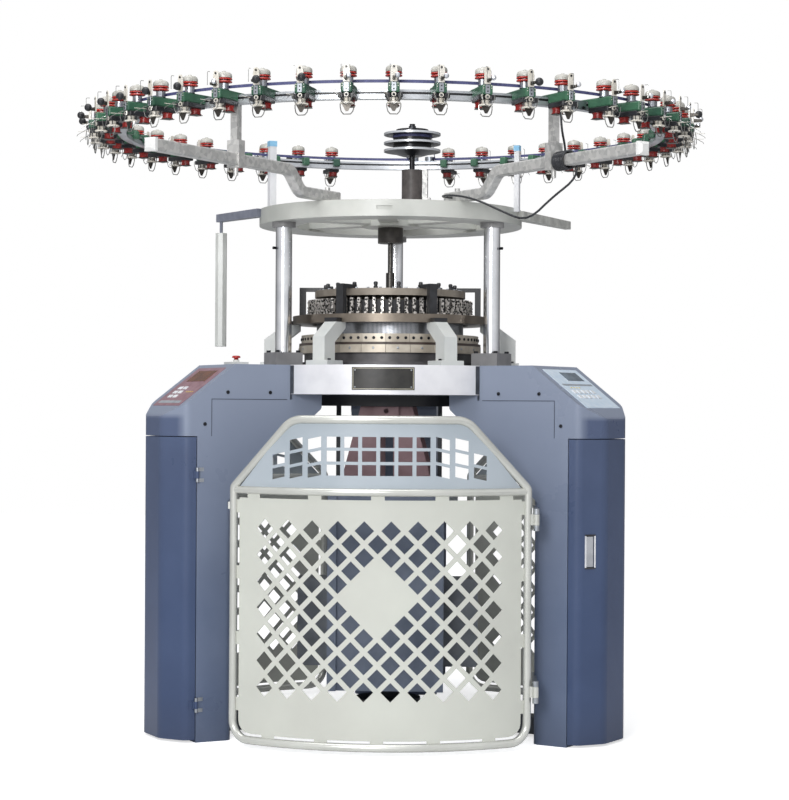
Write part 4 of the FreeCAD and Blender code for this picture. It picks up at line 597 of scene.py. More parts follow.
# ---------------------------------------------------------------- floor frame and take-down
# Welded floor frame, hangers under the gear, rollers and gear housings that draw the fabric down.
# Cast parts are primer-painted, plates are blue-grey, and the rollers are knurled plated steel.
dress(moulded("machine_paint_dark_grey", "2c3036", "3b3f46", 0.55, 20.0), "base_frame", "take_down_cage")
dress(moulded("gearbox_paint_grey", "70767e", "868c94", 0.45, 20.0), "take_down_gearboxes")
hanger_plate_top, hanger_top = 0.852, 1.1582
dress(painted_in_parts(
    "primer_and_panel_paint", "Z", [hanger_plate_top, hanger_top],
    [("6c7688", "7d879a"), ("7d5f62", "93757a"), ("26272a", "26272a")], roughness=0.5, mottle=(12.0, 5.0)),
    "take_down_hangers")
dress(zinc, "draw_roller_front", "draw_roller_back")
dress(bare_metal("cloth_roller_tube", "a4a8ae", "bfc3c8", 0.30), "cloth_roller")

# ---------------------------------------------------------------- bed, fascias and nameplate
# Cast and ground bed under a polished stainless fascia in three bows, with a bare black plate.
# Stainless sheet, brushed along the bow: its near-white soft bands are mostly painted reflection of the pale room.
dress(moulded("bed_paint_pale_grey", "9aa0aa", "b0b5bd", 0.42, 20.0), "bed_ring")
dress(moulded("stainless_sheet_painted_reflection", "e9e9ed", "f4f4f7", 0.36, 20.0, metallic=0.3), "bed_fascias")
dress(moulded("nameplate_lacquer_black", "1b1a18", "2b2926", 0.30), "nameplate")
plate_radius = 0.5071
plate_half_angle = math.radians(11.95)
plate_low = 1.2185
plate_high = 1.2915
rim_width = 0.0016


def bow_strip(shape, start, end, low, high, inner, outer, count):
    """Closed strip bent on the bed's radius about the front of the machine."""
    grid = []
    for index in range(count + 1):
        angle = -math.pi / 2 + start + (end - start) * index / count
        grid.append([shape.verts.new((r * math.cos(angle), r * math.sin(angle), z)) for r, z in [
            (inner, low), (outer, low), (outer, high), (inner, high)]])
    for first, second in zip(grid, grid[1:]):
        for index in range(4):
            after = (index + 1) % 4
            shape.faces.new((first[index], first[after], second[after], second[index]))
    shape.faces.new(grid[0])
    shape.faces.new(list(reversed(grid[-1])))


rim_thickness = 0.0008
rim_outer = plate_radius + rim_thickness
rim_angle = rim_width / plate_radius
plate_rim = bmesh.new()
for low in (plate_low, plate_high - rim_width):
    bow_strip(plate_rim, -plate_half_angle, plate_half_angle, low, low + rim_width, plate_radius, rim_outer, 24)
for side in [-1, 1]:
    edge = side * plate_half_angle
    bow_strip(
        plate_rim, edge - side * rim_angle, edge, plate_low + rim_width, plate_high - rim_width,
        plate_radius, rim_outer, 2)
one_piece("nameplate_rim", plate_rim, moulded("nameplate_rim_pale", "c9c3a8", "dcd7c2", 0.30))

# A dark strip at the end of each bow of the fascia is painted shade of the gap there.
fascia_face = 0.5051
strip_low, strip_high = 1.2020, 1.3010
strip_half_angle, strip_thickness = 0.016, 0.0010
bow_half_angle = math.radians(40.0)
end_gap_shade_strips = bmesh.new()
for gate_turn in [0.0, 2 * math.pi / 3, -2 * math.pi / 3]:
    for side in [-1, 1]:
        middle = gate_turn + side * bow_half_angle
        bow_strip(
            end_gap_shade_strips, middle - strip_half_angle, middle + strip_half_angle, strip_low, strip_high,
            fascia_face, fascia_face + strip_thickness, 2)
one_piece("fascia_end_strips", end_gap_shade_strips, moulded("fascia_end_strips_dark", "33363d", "454951", 0.40))


def facing_out(radius, angle, height):
    """Spot on an upright round face, for a shape that points away from the machine's axis."""
    return (radius * math.cos(angle), radius * math.sin(angle), height), (math.pi / 2, 0.0, angle + math.pi / 2)


screw_inset = 0.007
screw_angle = plate_half_angle - 0.015
corner_screws = [
    facing_out(plate_radius, -math.pi / 2 + side * screw_angle, height)
    for side in [-1, 1] for height in [plate_low + screw_inset, plate_high - screw_inset]]
copies("nameplate_screws", button_head(0.0028, 0.0012), corner_screws, zinc)

# ---------------------------------------------------------------- knitting head
# Needle cylinder inside twenty-four cam boxes of nickel-plated steel, each held by black screws.
# Six cast yokes carry the bronze-coloured guide ring, and over the cylinder sits the dial cam plate.
dress(moulded("cam_box_nickel_warm", "b3a99a", "cbc2b3", 0.33, 14.0, metallic=0.35), "cam_boxes")
dress(moulded("dial_plate_ground_steel", "877e73", "a1988c", 0.42, 14.0, metallic=0.25), "dial_cam_plate")
dress(moulded("cam_ring_dark_steel", "4b4a4c", "5f5d5e", 0.40, 14.0, metallic=0.5), "cam_ring")
dress(bare_metal("guide_ring_bronzed", "6f675e", "877e73", 0.34, 0.8, (12.0, 12.0, 1.0)), "guide_ring")
dress(moulded("bracket_posts_black", "1c1d20", "2c2d31", 0.40), "bracket_posts")
guide_finish, tree = blank_material("yarn_guides_polished_and_pierced")
place = add_node(tree, "ShaderNodeTexCoord").outputs["Object"]
pierced = add_node(tree, "ShaderNodeTexNoise", {"Scale": 120.0, "Detail": 1.0}, {"Vector": place})
bright_or_dark = add_node(tree, "ShaderNodeValToRGB", links={0: pierced}, stops=[(0.42, "2b2927"), (0.50, "ddd8d2")])
surface = add_node(
    tree, "ShaderNodeBsdfPrincipled", {"Roughness": 0.26, "Metallic": 0.4}, {"Base Color": bright_or_dark})
add_node(tree, "ShaderNodeOutputMaterial", links={"Surface": surface})
dress(guide_finish, "yarn_guides")
guide_ring_foot = 1.4572
dress(painted_in_parts(
    "yoke_casting_paint_and_black_caps", "Z", [guide_ring_foot], [("cdd0ce", "dfe0dc"), ("1d1e22", "1d1e22")],
    roughness=0.4, mottle=(9.0, 5.0), skin=(350.0, 3.0, 0.2, 0.0008)), "yokes")

# The cylinder's needle slots stand as fine upright stripes, drawn about three times their real pitch.
slotted, tree = blank_material("needle_slots_hardened_steel")
place = add_node(tree, "ShaderNodeTexCoord").outputs["Object"]
round_about = add_node(tree, "ShaderNodeTexGradient", links={"Vector": place}, gradient_type="RADIAL")
slot_count = add_node(tree, "ShaderNodeMath", {1: 360.0}, {0: round_about.outputs["Fac"]}, operation="MULTIPLY")
slot_wave = add_node(tree, "ShaderNodeMath", {1: 1.0}, {0: slot_count}, operation="MODULO")
# Painted shade: the dark stripes stand for the shade in the slots.
slots = add_node(tree, "ShaderNodeValToRGB", links={0: slot_wave}, stops=[(0.40, "3c3e42"), (0.52, "b9bcc1")])
relief = add_node(tree, "ShaderNodeBump", {"Strength": 0.5, "Distance": 0.001}, {"Height": slot_wave})
surface = add_node(
    tree, "ShaderNodeBsdfPrincipled", {"Roughness": 0.3, "Metallic": 0.85},
    {"Base Color": slots, "Normal": relief})
add_node(tree, "ShaderNodeOutputMaterial", links={"Surface": surface})
dress(slotted, "needle_cylinder")
dress(bare_metal("dial_shaft_blackened_steel", "3b3a39", "55534f", 0.26), "needle_dial")

# Three cap screws hold each cam box in its upper face, and an adjuster sits in the step below them.
box_count = 24
box_screw_face, box_step_face = 0.3262, 0.3352
screw_height, adjuster_height = 1.4020, 1.3660
box_angles = even_angles(box_count, 0.5, -math.pi / 2)
screw_gap = 2 * math.pi / box_count / 3
cam_screws = [
    facing_out(box_screw_face, angle + offset, screw_height)
    for angle in box_angles for offset in [-screw_gap, 0.0, screw_gap]]
copies("cam_box_screws", button_head(0.0056, 0.0028, 10), cam_screws, black_oxide)
adjusters = [facing_out(box_step_face, angle, adjuster_height) for angle in box_angles]
copies("cam_box_adjusters", button_head(0.0045, 0.0020, 8), adjusters, zinc)


def turned(angles):
    """Spots for a shape that is drawn at its own radius and only turned about the machine's axis."""
    return [((0.0, 0.0, 0.0), (0.0, 0.0, angle)) for angle in angles]


# Slim needle jacks stand in the gap between the cylinder and the dial.
needle_circle, needle_middle = 0.2655, 1.509
needle = bmesh.new()
bmesh.ops.create_cone(
    needle, cap_ends=True, segments=5, radius1=0.0011, radius2=0.0006, depth=0.022,
    matrix=Matrix.Translation((needle_circle, 0, needle_middle)))
copies("cylinder_needles", needle, turned(even_angles(240, 0.5)), chrome, "cylinder")

# A dark band paints the shade in the cam boxes' groove, and a thin black ring stands round the needles behind the
# guides.
nearly_round = 2 * math.pi * 0.9999
for name, low, high, inner, outer, finish in [
        # Painted shade of the groove.
        ("cam_box_band", 1.3784, 1.3872, 0.3264, 0.3342, moulded("cam_groove_painted_shade", "3a2f2a", "4d403a", 0.42)),
        ("needle_guard_ring", 1.4875, 1.5390, 0.2812, 0.2850,
         moulded("ring_behind_guides_black", "1a1a1c", "2a2a2e", 0.5))]:
    band = bmesh.new()
    bow_strip(band, 0.0, nearly_round, low, high, inner, outer, 96)
    one_piece(name, band, finish)

# Small round knobs and cap screws on the dial cam plate, and eyelets on the yarn guides.
dial_plate_face = 1.5812
knob_circle, screw_circle = 0.238, 0.262
knob = lathe(bmesh.new(), [
    (0.008, dial_plate_face), (0.008, 1.588), (0.006, 1.590), (0.006, 1.594), (0.0075, 1.596), (0.0075, 1.603),
    (0.005, 1.606), (0, 1.6065)], (knob_circle, 0.0), 14)
copies("dial_knobs", knob, turned(even_angles(18)), moulded("dial_knobs_black", "1e1f22", "303236", 0.35))
screw = lathe(bmesh.new(), [
    (0.005, dial_plate_face), (0.005, 1.5852), (0.0028, 1.5856), (0, 1.5832)], (screw_circle, 0.0), 10)
copies("dial_screws", screw, turned(even_angles(36, 0.5)), zinc)


def round_plug(shape, radius, thickness, sides, place):
    """Adds a short round plug that points away from the machine's axis."""
    bmesh.ops.create_cone(
        shape, cap_ends=True, segments=sides, radius1=radius, radius2=radius, depth=thickness,
        matrix=Matrix.Translation(place) @ Matrix.Rotation(math.pi / 2, 4, "Y"))


guide_face, guide_count = 0.3036, 66
eyelet_thickness = 0.0016
eyelet = bmesh.new()
round_plug(eyelet, 0.0034, eyelet_thickness, 10, (guide_face, 0, 1.538))
for across, height in [(-0.0042, 1.4990), (0.0042, 1.5080), (-0.0040, 1.5190)]:
    round_plug(eyelet, 0.0028, eyelet_thickness, 8, (guide_face, across, height))
copies("guide_eyelets", eyelet, turned(even_angles(guide_count, 0.5, -math.pi / 2)), black_oxide)

# ---------------------------------------------------------------- columns and crown
# Three hard-chromed columns stand on square cast feet and carry the crown, a spoked cast ring
# in pale grey paint. Chrome mirrors the white room in long upright streaks.
foot_top, crown_foot = 1.3502, 1.7998
knob_start = 0.4608
column_finish, tree = blank_material("hard_chrome_and_cast_feet")
place = add_node(tree, "ShaderNodeTexCoord").outputs["Object"]
split = add_node(tree, "ShaderNodeSeparateXYZ", links={0: place})
above = add_node(tree, "ShaderNodeMath", {1: foot_top}, {0: split.outputs[2]}, operation="GREATER_THAN")
below = add_node(tree, "ShaderNodeMath", {1: crown_foot}, {0: split.outputs[2]}, operation="LESS_THAN")
chromed = add_node(tree, "ShaderNodeMath", links={0: above, 1: below}, operation="MULTIPLY")
cloud = add_node(tree, "ShaderNodeTexNoise", {"Scale": 12.0, "Detail": 4.0}, {"Vector": place})
cast = add_node(tree, "ShaderNodeValToRGB", links={0: cloud}, stops=[(0.3, "7b7a7b"), (0.7, "959494")])
plated = add_node(tree, "ShaderNodeValToRGB", links={0: cloud}, stops=[(0.3, "d2d4d8"), (0.7, "e9eaec")])
either = add_node(tree, "ShaderNodeMixRGB", links={"Fac": chromed, "Color1": cast, "Color2": plated})
from_axis = plan_distance(tree, place)[1]
outside = add_node(tree, "ShaderNodeMath", {1: knob_start}, {0: from_axis}, operation="GREATER_THAN")
on_knob = add_node(tree, "ShaderNodeMath", links={0: outside, 1: chromed}, operation="MULTIPLY")
with_knob = add_node(tree, "ShaderNodeMixRGB", {"Color2": linear("232427")}, {"Fac": on_knob, "Color1": either})
gloss = add_node(tree, "ShaderNodeMapRange", {"To Min": 0.42, "To Max": 0.21}, {0: chromed})
surface = add_node(tree, "ShaderNodeBsdfPrincipled", links={
    "Base Color": with_knob, "Metallic": chromed, "Roughness": gloss})
add_node(tree, "ShaderNodeOutputMaterial", links={"Surface": surface})
dress(column_finish, "columns")
dress(moulded("crown_paint_pale_grey", "b9bbb5", "cdcec8", 0.32, 40.0), "crown_ring")

# A blackened steel collar closes the bearing boss under the crown.
collar = lathe(bmesh.new(), [
    (0.0454, 1.7596), (0.0466, 1.7612), (0.0466, 1.8150), (0.0458, 1.8178)], sides=48)
blackened = moulded("boss_collar_blackened", "35322f", "4a4642", 0.36, metallic=0.4)
one_piece("crown_boss_collar", collar, blackened, smooth=True)

# Socket screws stand on the corners of the column feet and of the yoke feet.
column_out, corner, foot_face = 0.431, 0.040, 1.3501
socket_head = lathe(bmesh.new(), [
    (0.008, 0.0), (0.008, 0.007), (0.007, 0.008), (0.0045, 0.008), (0.0045, 0.004), (0, 0.004)], sides=12)
foot_spots = [
    (spot_at(azimuth, column_out + out, across, foot_face), (0.0, 0.0, azimuth)) for azimuth in leg_azimuths
    for out, across in [(-corner, -corner), (corner, -corner), (corner, corner), (-corner, corner)]]
copies("column_foot_screws", socket_head, foot_spots, black_oxide)
yoke_screw_out, yoke_screw_across, yoke_foot_face = 0.450, 0.036, 1.3201
yoke_bolt = lathe(
    bmesh.new(), [(0.006, 0.0), (0.006, 0.006), (0.0035, 0.006), (0.0035, 0.003), (0, 0.003)], sides=10)
yoke_spots = [
    (spot_at(azimuth, yoke_screw_out, across, yoke_foot_face), (0.0, 0.0, azimuth))
    for azimuth in even_angles(6, start=math.radians(240.0)) for across in [-yoke_screw_across, yoke_screw_across]]
copies("yoke_foot_screws", yoke_bolt, yoke_spots, black_oxide)

# ---------------------------------------------------------------- lamp, its arms and the capped posts
# A tubular lamp with a frosted acrylic cover hangs on the left, on a folded arm in slate paint; the
# arm on the right is galvanised. Two white square posts have pale blue end caps of polyethylene.
dress(painted_in_parts(
    "arms_slate_paint_left_and_zinc_right", "X", [0.0], [("6b6f7c", "7f8390"), ("a9a9a4", "cfcfc9")],
    roughness=0.42, mottle=(30.0, 4.0)), "lamp_arms")
dress(moulded("lamp_cover_frosted_acrylic", "c4c6c2", "d3d5d1", 0.30, 30.0), "lamp_bar")
right_cap_foot, left_cap_foot = 2.0802, 2.0922
post_finish, tree = blank_material("white_posts_with_blue_caps")
place = add_node(tree, "ShaderNodeTexCoord").outputs["Object"]
split = add_node(tree, "ShaderNodeSeparateXYZ", links={0: place})
leftward = add_node(tree, "ShaderNodeMath", {1: 0.0}, {0: split}, operation="LESS_THAN")
cap_height = add_node(tree, "ShaderNodeMapRange", {"To Min": right_cap_foot, "To Max": left_cap_foot}, {0: leftward})
capped = add_node(tree, "ShaderNodeMath", links={0: split.outputs[2], 1: cap_height}, operation="GREATER_THAN")
cloud = add_node(tree, "ShaderNodeTexNoise", {"Scale": 20.0, "Detail": 4.0}, {"Vector": place})
white = add_node(tree, "ShaderNodeValToRGB", links={0: cloud}, stops=[(0.3, "dcdde0"), (0.7, "ececee")])
either = add_node(tree, "ShaderNodeMixRGB", {"Color2": linear("8ec4e6")}, {"Fac": capped, "Color1": white})
surface = add_node(tree, "ShaderNodeBsdfPrincipled", {"Roughness": 0.38}, {"Base Color": either})
add_node(tree, "ShaderNodeOutputMaterial", links={"Surface": surface})
dress(post_finish, "capped_posts")

# ---------------------------------------------------------------- ring arms, posts and feeder ring
# Galvanised square tube, bent as a goose neck, with white plastic end caps; the ring is two
# aluminium profiles one on the other, with the black edge of the conductor strip between them.
arm_cap_start = 1.4302
arm_finish, tree = blank_material("galvanised_tube_with_white_caps")
place = add_node(tree, "ShaderNodeTexCoord").outputs["Object"]
from_axis = plan_distance(tree, place)[1]
capped = add_node(tree, "ShaderNodeMath", {1: arm_cap_start}, {0: from_axis}, operation="GREATER_THAN")
spangle = add_node(tree, "ShaderNodeTexVoronoi", {"Scale": 70.0}, {"Vector": place})
zinc_tone = add_node(
    tree, "ShaderNodeValToRGB", links={0: spangle.outputs["Color"]}, stops=[(0.2, "b9b9b7"), (0.8, "d6d5d2")])
either = add_node(tree, "ShaderNodeMixRGB", {"Color2": linear("e6e6e4")}, {"Fac": capped, "Color1": zinc_tone})
metal_share = add_node(tree, "ShaderNodeMapRange", {"To Min": 0.55, "To Max": 0.0}, {0: capped})
gloss = add_node(tree, "ShaderNodeMapRange", {"To Min": 0.36, "To Max": 0.5}, {0: spangle.outputs["Distance"]})
surface = add_node(tree, "ShaderNodeBsdfPrincipled", links={
    "Base Color": either, "Metallic": metal_share, "Roughness": gloss})
add_node(tree, "ShaderNodeOutputMaterial", links={"Surface": surface})
dress(arm_finish, "ring_arms", "ring_posts")

strip_height, strip_half = 2.1640, 0.0036
ring_finish, tree = blank_material("ring_aluminium_with_black_strip")
place = add_node(tree, "ShaderNodeTexCoord").outputs["Object"]
split = add_node(tree, "ShaderNodeSeparateXYZ", links={0: place})
strip = add_node(tree, "ShaderNodeMath", {1: strip_height, 2: strip_half}, {0: split.outputs[2]}, operation="COMPARE")
cloud = add_node(tree, "ShaderNodeTexNoise", {"Scale": 10.0, "Detail": 5.0}, {"Vector": place})
silver = add_node(tree, "ShaderNodeValToRGB", links={0: cloud}, stops=[(0.3, "b4b8bd"), (0.7, "ced1d5")])
either = add_node(tree, "ShaderNodeMixRGB", {"Color2": linear("141519")}, {"Fac": strip, "Color1": silver})
metal_share = add_node(tree, "ShaderNodeMapRange", {"To Min": 0.6, "To Max": 0.0}, {0: strip})
surface = add_node(
    tree, "ShaderNodeBsdfPrincipled", {"Roughness": 0.34},
    {"Base Color": either, "Metallic": metal_share})
add_node(tree, "ShaderNodeOutputMaterial", links={"Surface": surface})
dress(ring_finish, "feeder_ring")
dress(zinc, "ring_joint_plates")
plate_bolt = lathe(bmesh.new(), [(0.0055, 0.0), (0.0055, 0.0035), (0.004, 0.0045), (0, 0.0046)], sides=6)
joint_plate_face, bolt_height = 1.0042, 2.152
plate_spots = [
    facing_out(joint_plate_face, math.radians(middle + offset), bolt_height)
    for middle in [309.26, 197.42] for offset in [-2.6, -0.9, 0.9, 2.6]]
copies("joint_plate_bolts", plate_bolt, plate_spots, black_oxide)

# ---------------------------------------------------------------- yarn feeders
# Forty-three positive feeders sit astride the ring. Each has a die-cast housing in green paint, a
# black base, red tension discs under a grey translucent cap, a cream storage ring and a dark red drum.
feeder_pitch = 7.83
feeder_azimuths = []
for start, count, direction in [(314.2, 17, 1), (304.32, 14, -1), (192.3, 12, -1)]:
    feeder_azimuths += [
        math.radians((start + direction * index * feeder_pitch) % 360.0) for index in range(count)]
feeder_spots = turned(feeder_azimuths)


def pushed_out(shape, outline, low, high, bevel, view="plan", segments=2):
    """Adds a plate with rounded edges: an outline in plan, side or front view, between two levels."""
    axes = {"plan": (0, 1, 2), "side": (0, 2, 1), "front": (1, 2, 0)}[view]
    layers = []
    for level in (low, high):
        layers.append([
            shape.verts.new([(a, b, level)[axes.index(axis)] for axis in range(3)]) for a, b in outline])
    made = [shape.faces.new(layers[0]), shape.faces.new(list(reversed(layers[1])))]
    for index in range(len(outline)):
        after = (index + 1) % len(outline)
        made.append(shape.faces.new((layers[0][index], layers[1][index], layers[1][after], layers[0][after])))
    bmesh.ops.recalc_face_normals(shape, faces=made)
    if bevel:
        edges = list({edge for face in made for edge in face.edges})
        bmesh.ops.bevel(
            shape, geom=edges, offset=bevel, offset_type="OFFSET", segments=segments, profile=0.5, affect="EDGES",
            clamp_overlap=True)
    return shape


def wire(shape, points, radius, sides=5):
    """Adds a bent round wire through the points."""
    path = [Vector(point) for point in points]
    rings = []
    for index, point in enumerate(path):
        before = (point - path[index - 1]).normalized() if index else (path[1] - point).normalized()
        after = (path[index + 1] - point).normalized() if index + 1 < len(path) else before
        heading = (before + after).normalized()
        across = heading.orthogonal() if index == 0 else across - heading * across.dot(heading)
        across = across.normalized()
        other = heading.cross(across)
        widen = radius / max(0.4, math.sqrt((1 + before.dot(after)) / 2))
        rings.append([
            shape.verts.new(point + widen * (math.cos(angle) * across + math.sin(angle) * other))
            for angle in even_angles(sides)])
    for low, high in zip(rings, rings[1:]):
        for k in range(sides):
            after = (k + 1) % sides
            shape.faces.new((low[k], low[after], high[after], high[k]))
    shape.faces.new(list(reversed(rings[0])))
    shape.faces.new(rings[-1])
    return shape


feeder_green = moulded("feeder_housing_green_enamel", "24483a", "3d6b50", 0.36, 30.0)
feeder_black = moulded("feeder_base_moulded_black", "121316", "25262b", 0.36)
feeder_cream = moulded("feeder_ceramic_cream", "d8d2c4", "efeae0", 0.28)
feeder_red = moulded("tension_discs_red", "a52a22", "c4392d", 0.26)
feeder_drum_red = moulded("drum_dark_red", "7d1d1c", "a02c28", 0.32)
feeder_cap_grey = moulded("feeder_cap_translucent_grey", "aeaca4", "c6c4bd", 0.24)
guide_metal = bare_metal("guide_plate_phosphated", "3f3c39", "5a5753", 0.34)
wire_steel = bare_metal("bail_wire_stainless", "7d7d7b", "a3a3a0", 0.24)

housing_outline = [
    (0.945, 2.1512), (0.948, 2.1838), (1.1050, 2.1838), (1.1050, 2.1512), (1.0012, 2.1512), (1.0012, 2.1757),
    (0.9688, 2.1757), (0.9688, 2.1512)]
housing_half = 0.0185
ring_face, tail_length, tail_narrowing = 1.0, 0.055, 0.325
housing_unit = pushed_out(bmesh.new(), housing_outline, -housing_half, housing_half, 0.0052, "side")
for vertex in housing_unit.verts:
    if vertex.co.x < ring_face:
        vertex.co.y *= 1 - tail_narrowing * (ring_face - vertex.co.x) / tail_length
housings = copies("feeder_housing_castings", housing_unit, feeder_spots, feeder_green)
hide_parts("feeder_housings")

base_outline = [
    (1.0072, -0.021), (1.1000, -0.029), (1.1000, -0.012), (1.0960, -0.010), (1.0960, 0.010), (1.1000, 0.012),
    (1.1000, 0.029), (1.0072, 0.021)]
base_low, base_high = 2.1352, 2.1508
base_unit = pushed_out(bmesh.new(), base_outline, base_low, base_high, 0.0018, segments=1)
lathe(base_unit, [(0.0062, 2.1400), (0.0062, 2.1470), (0.0055, 2.1475)], (1.0995, 0.0), 8)
ring_middle, pin_circle = 1.083, 0.0185
for angle in even_angles(8, start=0.3):
    pin_place = (ring_middle + pin_circle * math.cos(angle), pin_circle * math.sin(angle))
    lathe(base_unit, [(0.0013, 2.1220), (0.0013, 2.1354)], pin_place, 5)
bases = copies("feeder_base_mouldings", base_unit, feeder_spots, feeder_black)
ring_unit = lathe(bmesh.new(), [
    (0.0208, 2.1168), (0.0220, 2.1178), (0.0222, 2.1200), (0.0214, 2.1216), (0.0150, 2.1226), (0.0125, 2.1270),
    (0.0125, 2.1310), (0.0150, 2.1352)], (ring_middle, 0.0), 20)
housing_face, mark_face = 1.1050, 1.1055
mark_half_height, mark_half_width = 0.0013, 0.0015
for across, height in [(-0.013, 2.1790), (0.013, 2.1790), (-0.0135, 2.1710), (0.0135, 2.1710)]:
    low, high = height - mark_half_height, height + mark_half_height
    mark = [(housing_face, low), (mark_face, low), (mark_face, high), (housing_face, high)]
    pushed_out(ring_unit, mark, across - mark_half_width, across + mark_half_width, 0, "side")
eyelet_height = 2.1446
round_plug(ring_unit, 0.0074, 0.0050, 14, (1.1015, 0, eyelet_height))
copies("feeder_storage_rings", ring_unit, feeder_spots, feeder_cream)
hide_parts("feeder_bases")

drum_middle = 1.031
drum_unit = lathe(bmesh.new(), [
    (0.0170, 2.1162), (0.0190, 2.1172), (0.0190, 2.1190), (0.0165, 2.1205), (0.0165, 2.1305), (0.0185, 2.1320),
    (0.0185, 2.1348)], (drum_middle, 0.0), 18)
drums = copies("feeder_drum_bodies", drum_unit, feeder_spots, feeder_drum_red)
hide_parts("feeder_drums")

wheel_middle = 1.059
disc_unit = bmesh.new()
for height in (2.2062, 2.2150):
    lathe(disc_unit, [
        (0.0170, height), (0.0270, height + 0.0012), (0.0275, height + 0.0028), (0.0262, height + 0.0052),
        (0.0165, height + 0.0066)], (wheel_middle, 0.0), 20)
discs = copies("feeder_tension_discs", disc_unit, feeder_spots, feeder_red)
wheel_unit = lathe(bmesh.new(), [
    (0.0172, 2.1842), (0.0175, 2.1850), (0.0160, 2.1860), (0.0160, 2.2040), (0.0140, 2.2062), (0.0120, 2.2062),
    (0.0120, 2.2218)], (wheel_middle, 0.0), 16)
copies("feeder_wheel_hubs", wheel_unit, feeder_spots, zinc)
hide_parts("feeder_wheels")
cap_unit = lathe(bmesh.new(), [
    (0.0262, 2.2222), (0.0266, 2.2290), (0.0248, 2.2352), (0.0190, 2.2398), (0.0100, 2.2418), (0.0060, 2.2422),
    (0.0054, 2.2446), (0, 2.2449)], (wheel_middle, 0.0), 18)
caps = copies("feeder_cap_domes", cap_unit, feeder_spots, feeder_cap_grey)
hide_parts("feeder_caps")

bracket_outline = [
    (-0.0105, 2.1842), (0.0105, 2.1842), (0.0112, 2.2200), (0.0080, 2.2370), (0.0030, 2.2398), (-0.0030, 2.2398),
    (-0.0080, 2.2370), (-0.0112, 2.2200)]
bracket_inner, bracket_outer = 1.1020, 1.1048
bracket_unit = pushed_out(bmesh.new(), bracket_outline, bracket_inner, bracket_outer, 0, "front")
brackets = copies("feeder_brackets_pressed", bracket_unit, feeder_spots, feeder_cream)
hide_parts("feeder_brackets")

# Black eyelets at the top and the foot, and two screws on the plated strap between them.
small_black = bmesh.new()
for radius, thickness, sides, out, height in [
        (0.0036, 0.0030, 10, 1.1056, 2.2315), (0.0034, 0.0012, 10, 1.1042, eyelet_height),
        (0.0026, 0.0012, 8, 1.1076, 2.1610), (0.0026, 0.0012, 8, 1.1076, 2.1730)]:
    round_plug(small_black, radius, thickness, sides, (out, 0, height))
copies("feeder_eyelets", small_black, feeder_spots, feeder_black)
strap_inner, strap_outer = 1.1052, 1.1072
strap_low, strap_high, strap_half = 2.1535, 2.1820, 0.0078
strap_unit = pushed_out(
    bmesh.new(), [
        (strap_inner, strap_low), (strap_outer, strap_low), (strap_outer, strap_high), (strap_inner, strap_high)],
    -strap_half, strap_half, 0.0006, "side", 1)
copies("feeder_front_straps", strap_unit, feeder_spots, zinc)

# Sensor arm with its sliding yarn wire. All on the left side carry a black ball knob, as does about
# one in seven elsewhere, and the others carry a small plated one.
left_side_start, left_side_end, knob_share = 165, 236, 0.14
random.seed(12)
knob_spots = []
plain_spots = []
for spot in feeder_spots:
    degrees = math.degrees(spot[1][2])
    black_knob = left_side_start < degrees < left_side_end or random.random() < knob_share
    (knob_spots if black_knob else plain_spots).append(spot)
sensor_half = 0.0042
sensor_unit = pushed_out(
    bmesh.new(), [(1.1052, 2.1885), (1.1330, 2.1905), (1.1330, 2.1985), (1.1052, 2.2015)],
    -sensor_half, sensor_half, 0.0012, "side", 1)
copies("sensor_arms", sensor_unit, feeder_spots, guide_metal)
for name, radius, around, upward, place, spots, finish in [
        ("sensor_ball_knobs", 0.0133, 16, 10, (1.1325, 0.0145, 2.1975), knob_spots, feeder_black),
        ("sensor_small_knobs", 0.0088, 14, 9, (1.1300, 0.0110, 2.2010), plain_spots, chrome)]:
    ball_unit = bmesh.new()
    bmesh.ops.create_uvsphere(
        ball_unit, u_segments=around, v_segments=upward, radius=radius, matrix=Matrix.Translation(place))
    copies(name, ball_unit, spots, finish)

# Pierced guide plates under the storage ring and the drum, and the bent wires round them.
guide_unit = pushed_out(
    bmesh.new(), [(-0.017, 2.1168), (0.017, 2.1168), (0.004, 2.0925), (-0.004, 2.0925)], 1.0895, 1.0911, 0, "front")
pushed_out(guide_unit, [(1.0112, -0.0135), (1.0468, -0.0195), (1.0468, 0.0195), (1.0112, 0.0135)], 2.1142, 2.1160, 0)
guides = copies("feeder_guide_plates", guide_unit, feeder_spots, guide_metal)
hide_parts("feeder_guides")

wire_unit = bmesh.new()
wire(wire_unit, [
    (1.083, -0.0225, 2.1175), (1.084, -0.0220, 2.1060), (1.086, -0.0185, 2.0920), (1.087, -0.0110, 2.0835),
    (1.087, 0.0110, 2.0835), (1.086, 0.0185, 2.0920), (1.084, 0.0220, 2.1060), (1.083, 0.0225, 2.1175)], 0.0017)
wire(wire_unit, [
    (1.1105, -0.0225, 2.1490), (1.1130, -0.0200, 2.1350), (1.1140, -0.0120, 2.1180), (1.1140, 0.0, 2.1120),
    (1.1140, 0.0120, 2.1180), (1.1130, 0.0200, 2.1350), (1.1105, 0.0225, 2.1490)], 0.0013)
wire(wire_unit, [
    (1.1040, -0.0150, 2.1530), (1.1100, -0.0180, 2.1520), (1.1430, -0.0290, 2.1330), (1.1460, -0.0300, 2.1270)], 0.0010)
wire(wire_unit, [
    (1.1340, -0.0120, 2.1900), (1.1340, -0.0120, 2.2310), (1.1320, -0.0120, 2.2345), (1.1210, -0.0120, 2.2350)], 0.0010)
copies("feeder_wires", wire_unit, feeder_spots, wire_steel)
arm_plate_unit = pushed_out(bmesh.new(), [
    (1.0980, -0.0205), (1.1010, -0.0225), (1.1440, -0.0325), (1.1455, -0.0290), (1.1100, -0.0195)],
    2.1440, 2.1452, 0)
copies("feeder_yarn_arms", arm_plate_unit, feeder_spots, feeder_cream)

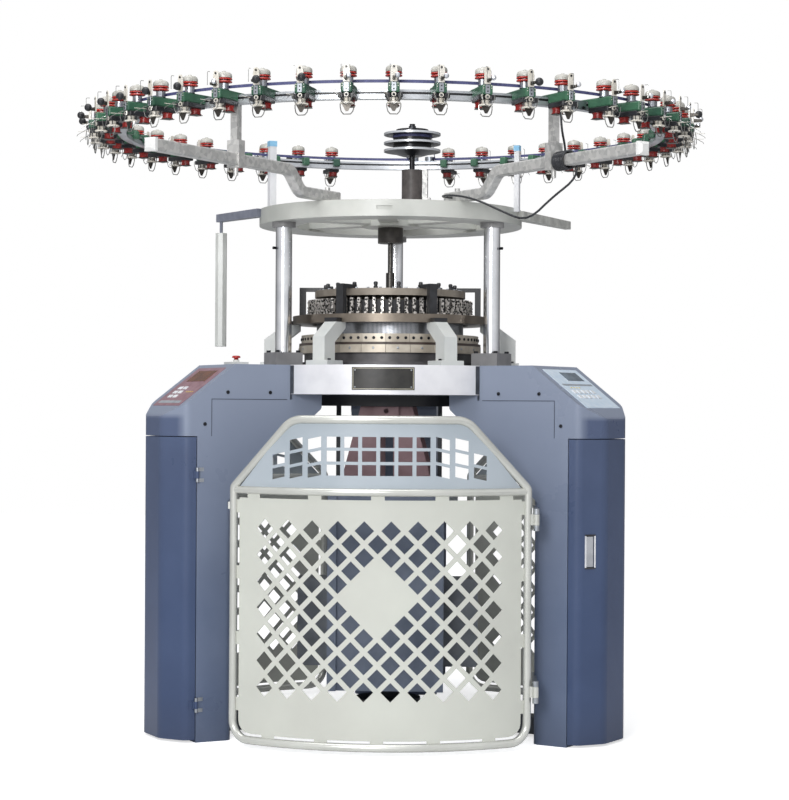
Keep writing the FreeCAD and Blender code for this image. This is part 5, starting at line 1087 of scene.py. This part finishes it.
# ---------------------------------------------------------------- feeder belts and their drive
# A toothed polyamide belt runs over the feeder wheels, woven side out. It comes from a stack of
# quality pulleys, turned aluminium discs in black lacquer with bright rims, on the crown at the back.
dress(moulded("belt_woven_blue_violet", "43466f", "565985", 0.55, 3.0), "feeder_belt")
spindle = (0.0667, 0.3247)
rim_start = 0.1070
pulley_finish, tree = blank_material("pulleys_black_with_bright_rims")
place = add_node(tree, "ShaderNodeTexCoord").outputs["Object"]
centred, from_spindle = plan_distance(tree, place, spindle)
on_rim = add_node(tree, "ShaderNodeMath", {1: rim_start}, {0: from_spindle}, operation="GREATER_THAN")
turning = add_node(
    tree, "ShaderNodeTexWave", {"Scale": 60.0, "Distortion": 0.5}, {"Vector": centred},
    wave_type="RINGS", rings_direction="Z")
lacquer = add_node(
    tree, "ShaderNodeValToRGB", links={0: turning.outputs["Fac"]}, stops=[(0.2, "1b1c20"), (0.8, "2b2d33")])
either = add_node(tree, "ShaderNodeMixRGB", {"Color2": linear("c9ccd0")}, {"Fac": on_rim, "Color1": lacquer})
surface = add_node(tree, "ShaderNodeBsdfPrincipled", {"Roughness": 0.28, "Metallic": 0.5}, {"Base Color": either})
add_node(tree, "ShaderNodeOutputMaterial", links={"Surface": surface})
dress(pulley_finish, "quality_pulleys")
dress(moulded("pulley_housing_dark_brown_grey", "4a4543", "5f5957", 0.42), "pulley_housing")

# ---------------------------------------------------------------- gates
# Three swinging gates: a bent tube frame in satin silver-cream, sheet panels pressed outward behind it
# with diamond and slanting windows punched through. The band above the cross tube is pale blue-grey.
dress(
    moulded("gate_tube_satin_silver_cream", "c3c4be", "d3d4ce", 0.24, 60.0, metallic=0.5),
    "gate_frame_front", "gate_frame_right", "gate_frame_left")
cross_tube_height = 0.8745
dress(painted_in_parts(
    "gate_sheet_cream_and_blue_grey", "Z", [cross_tube_height], [("c4c5bd", "d0d2c9"), ("a4aeb6", "b3bcc3")],
    roughness=0.34, mottle=(3.0, 5.0), skin=(420.0, 2.0, 0.1, 0.0006)),
    "gate_panels_front", "gate_panels_right", "gate_panels_left")
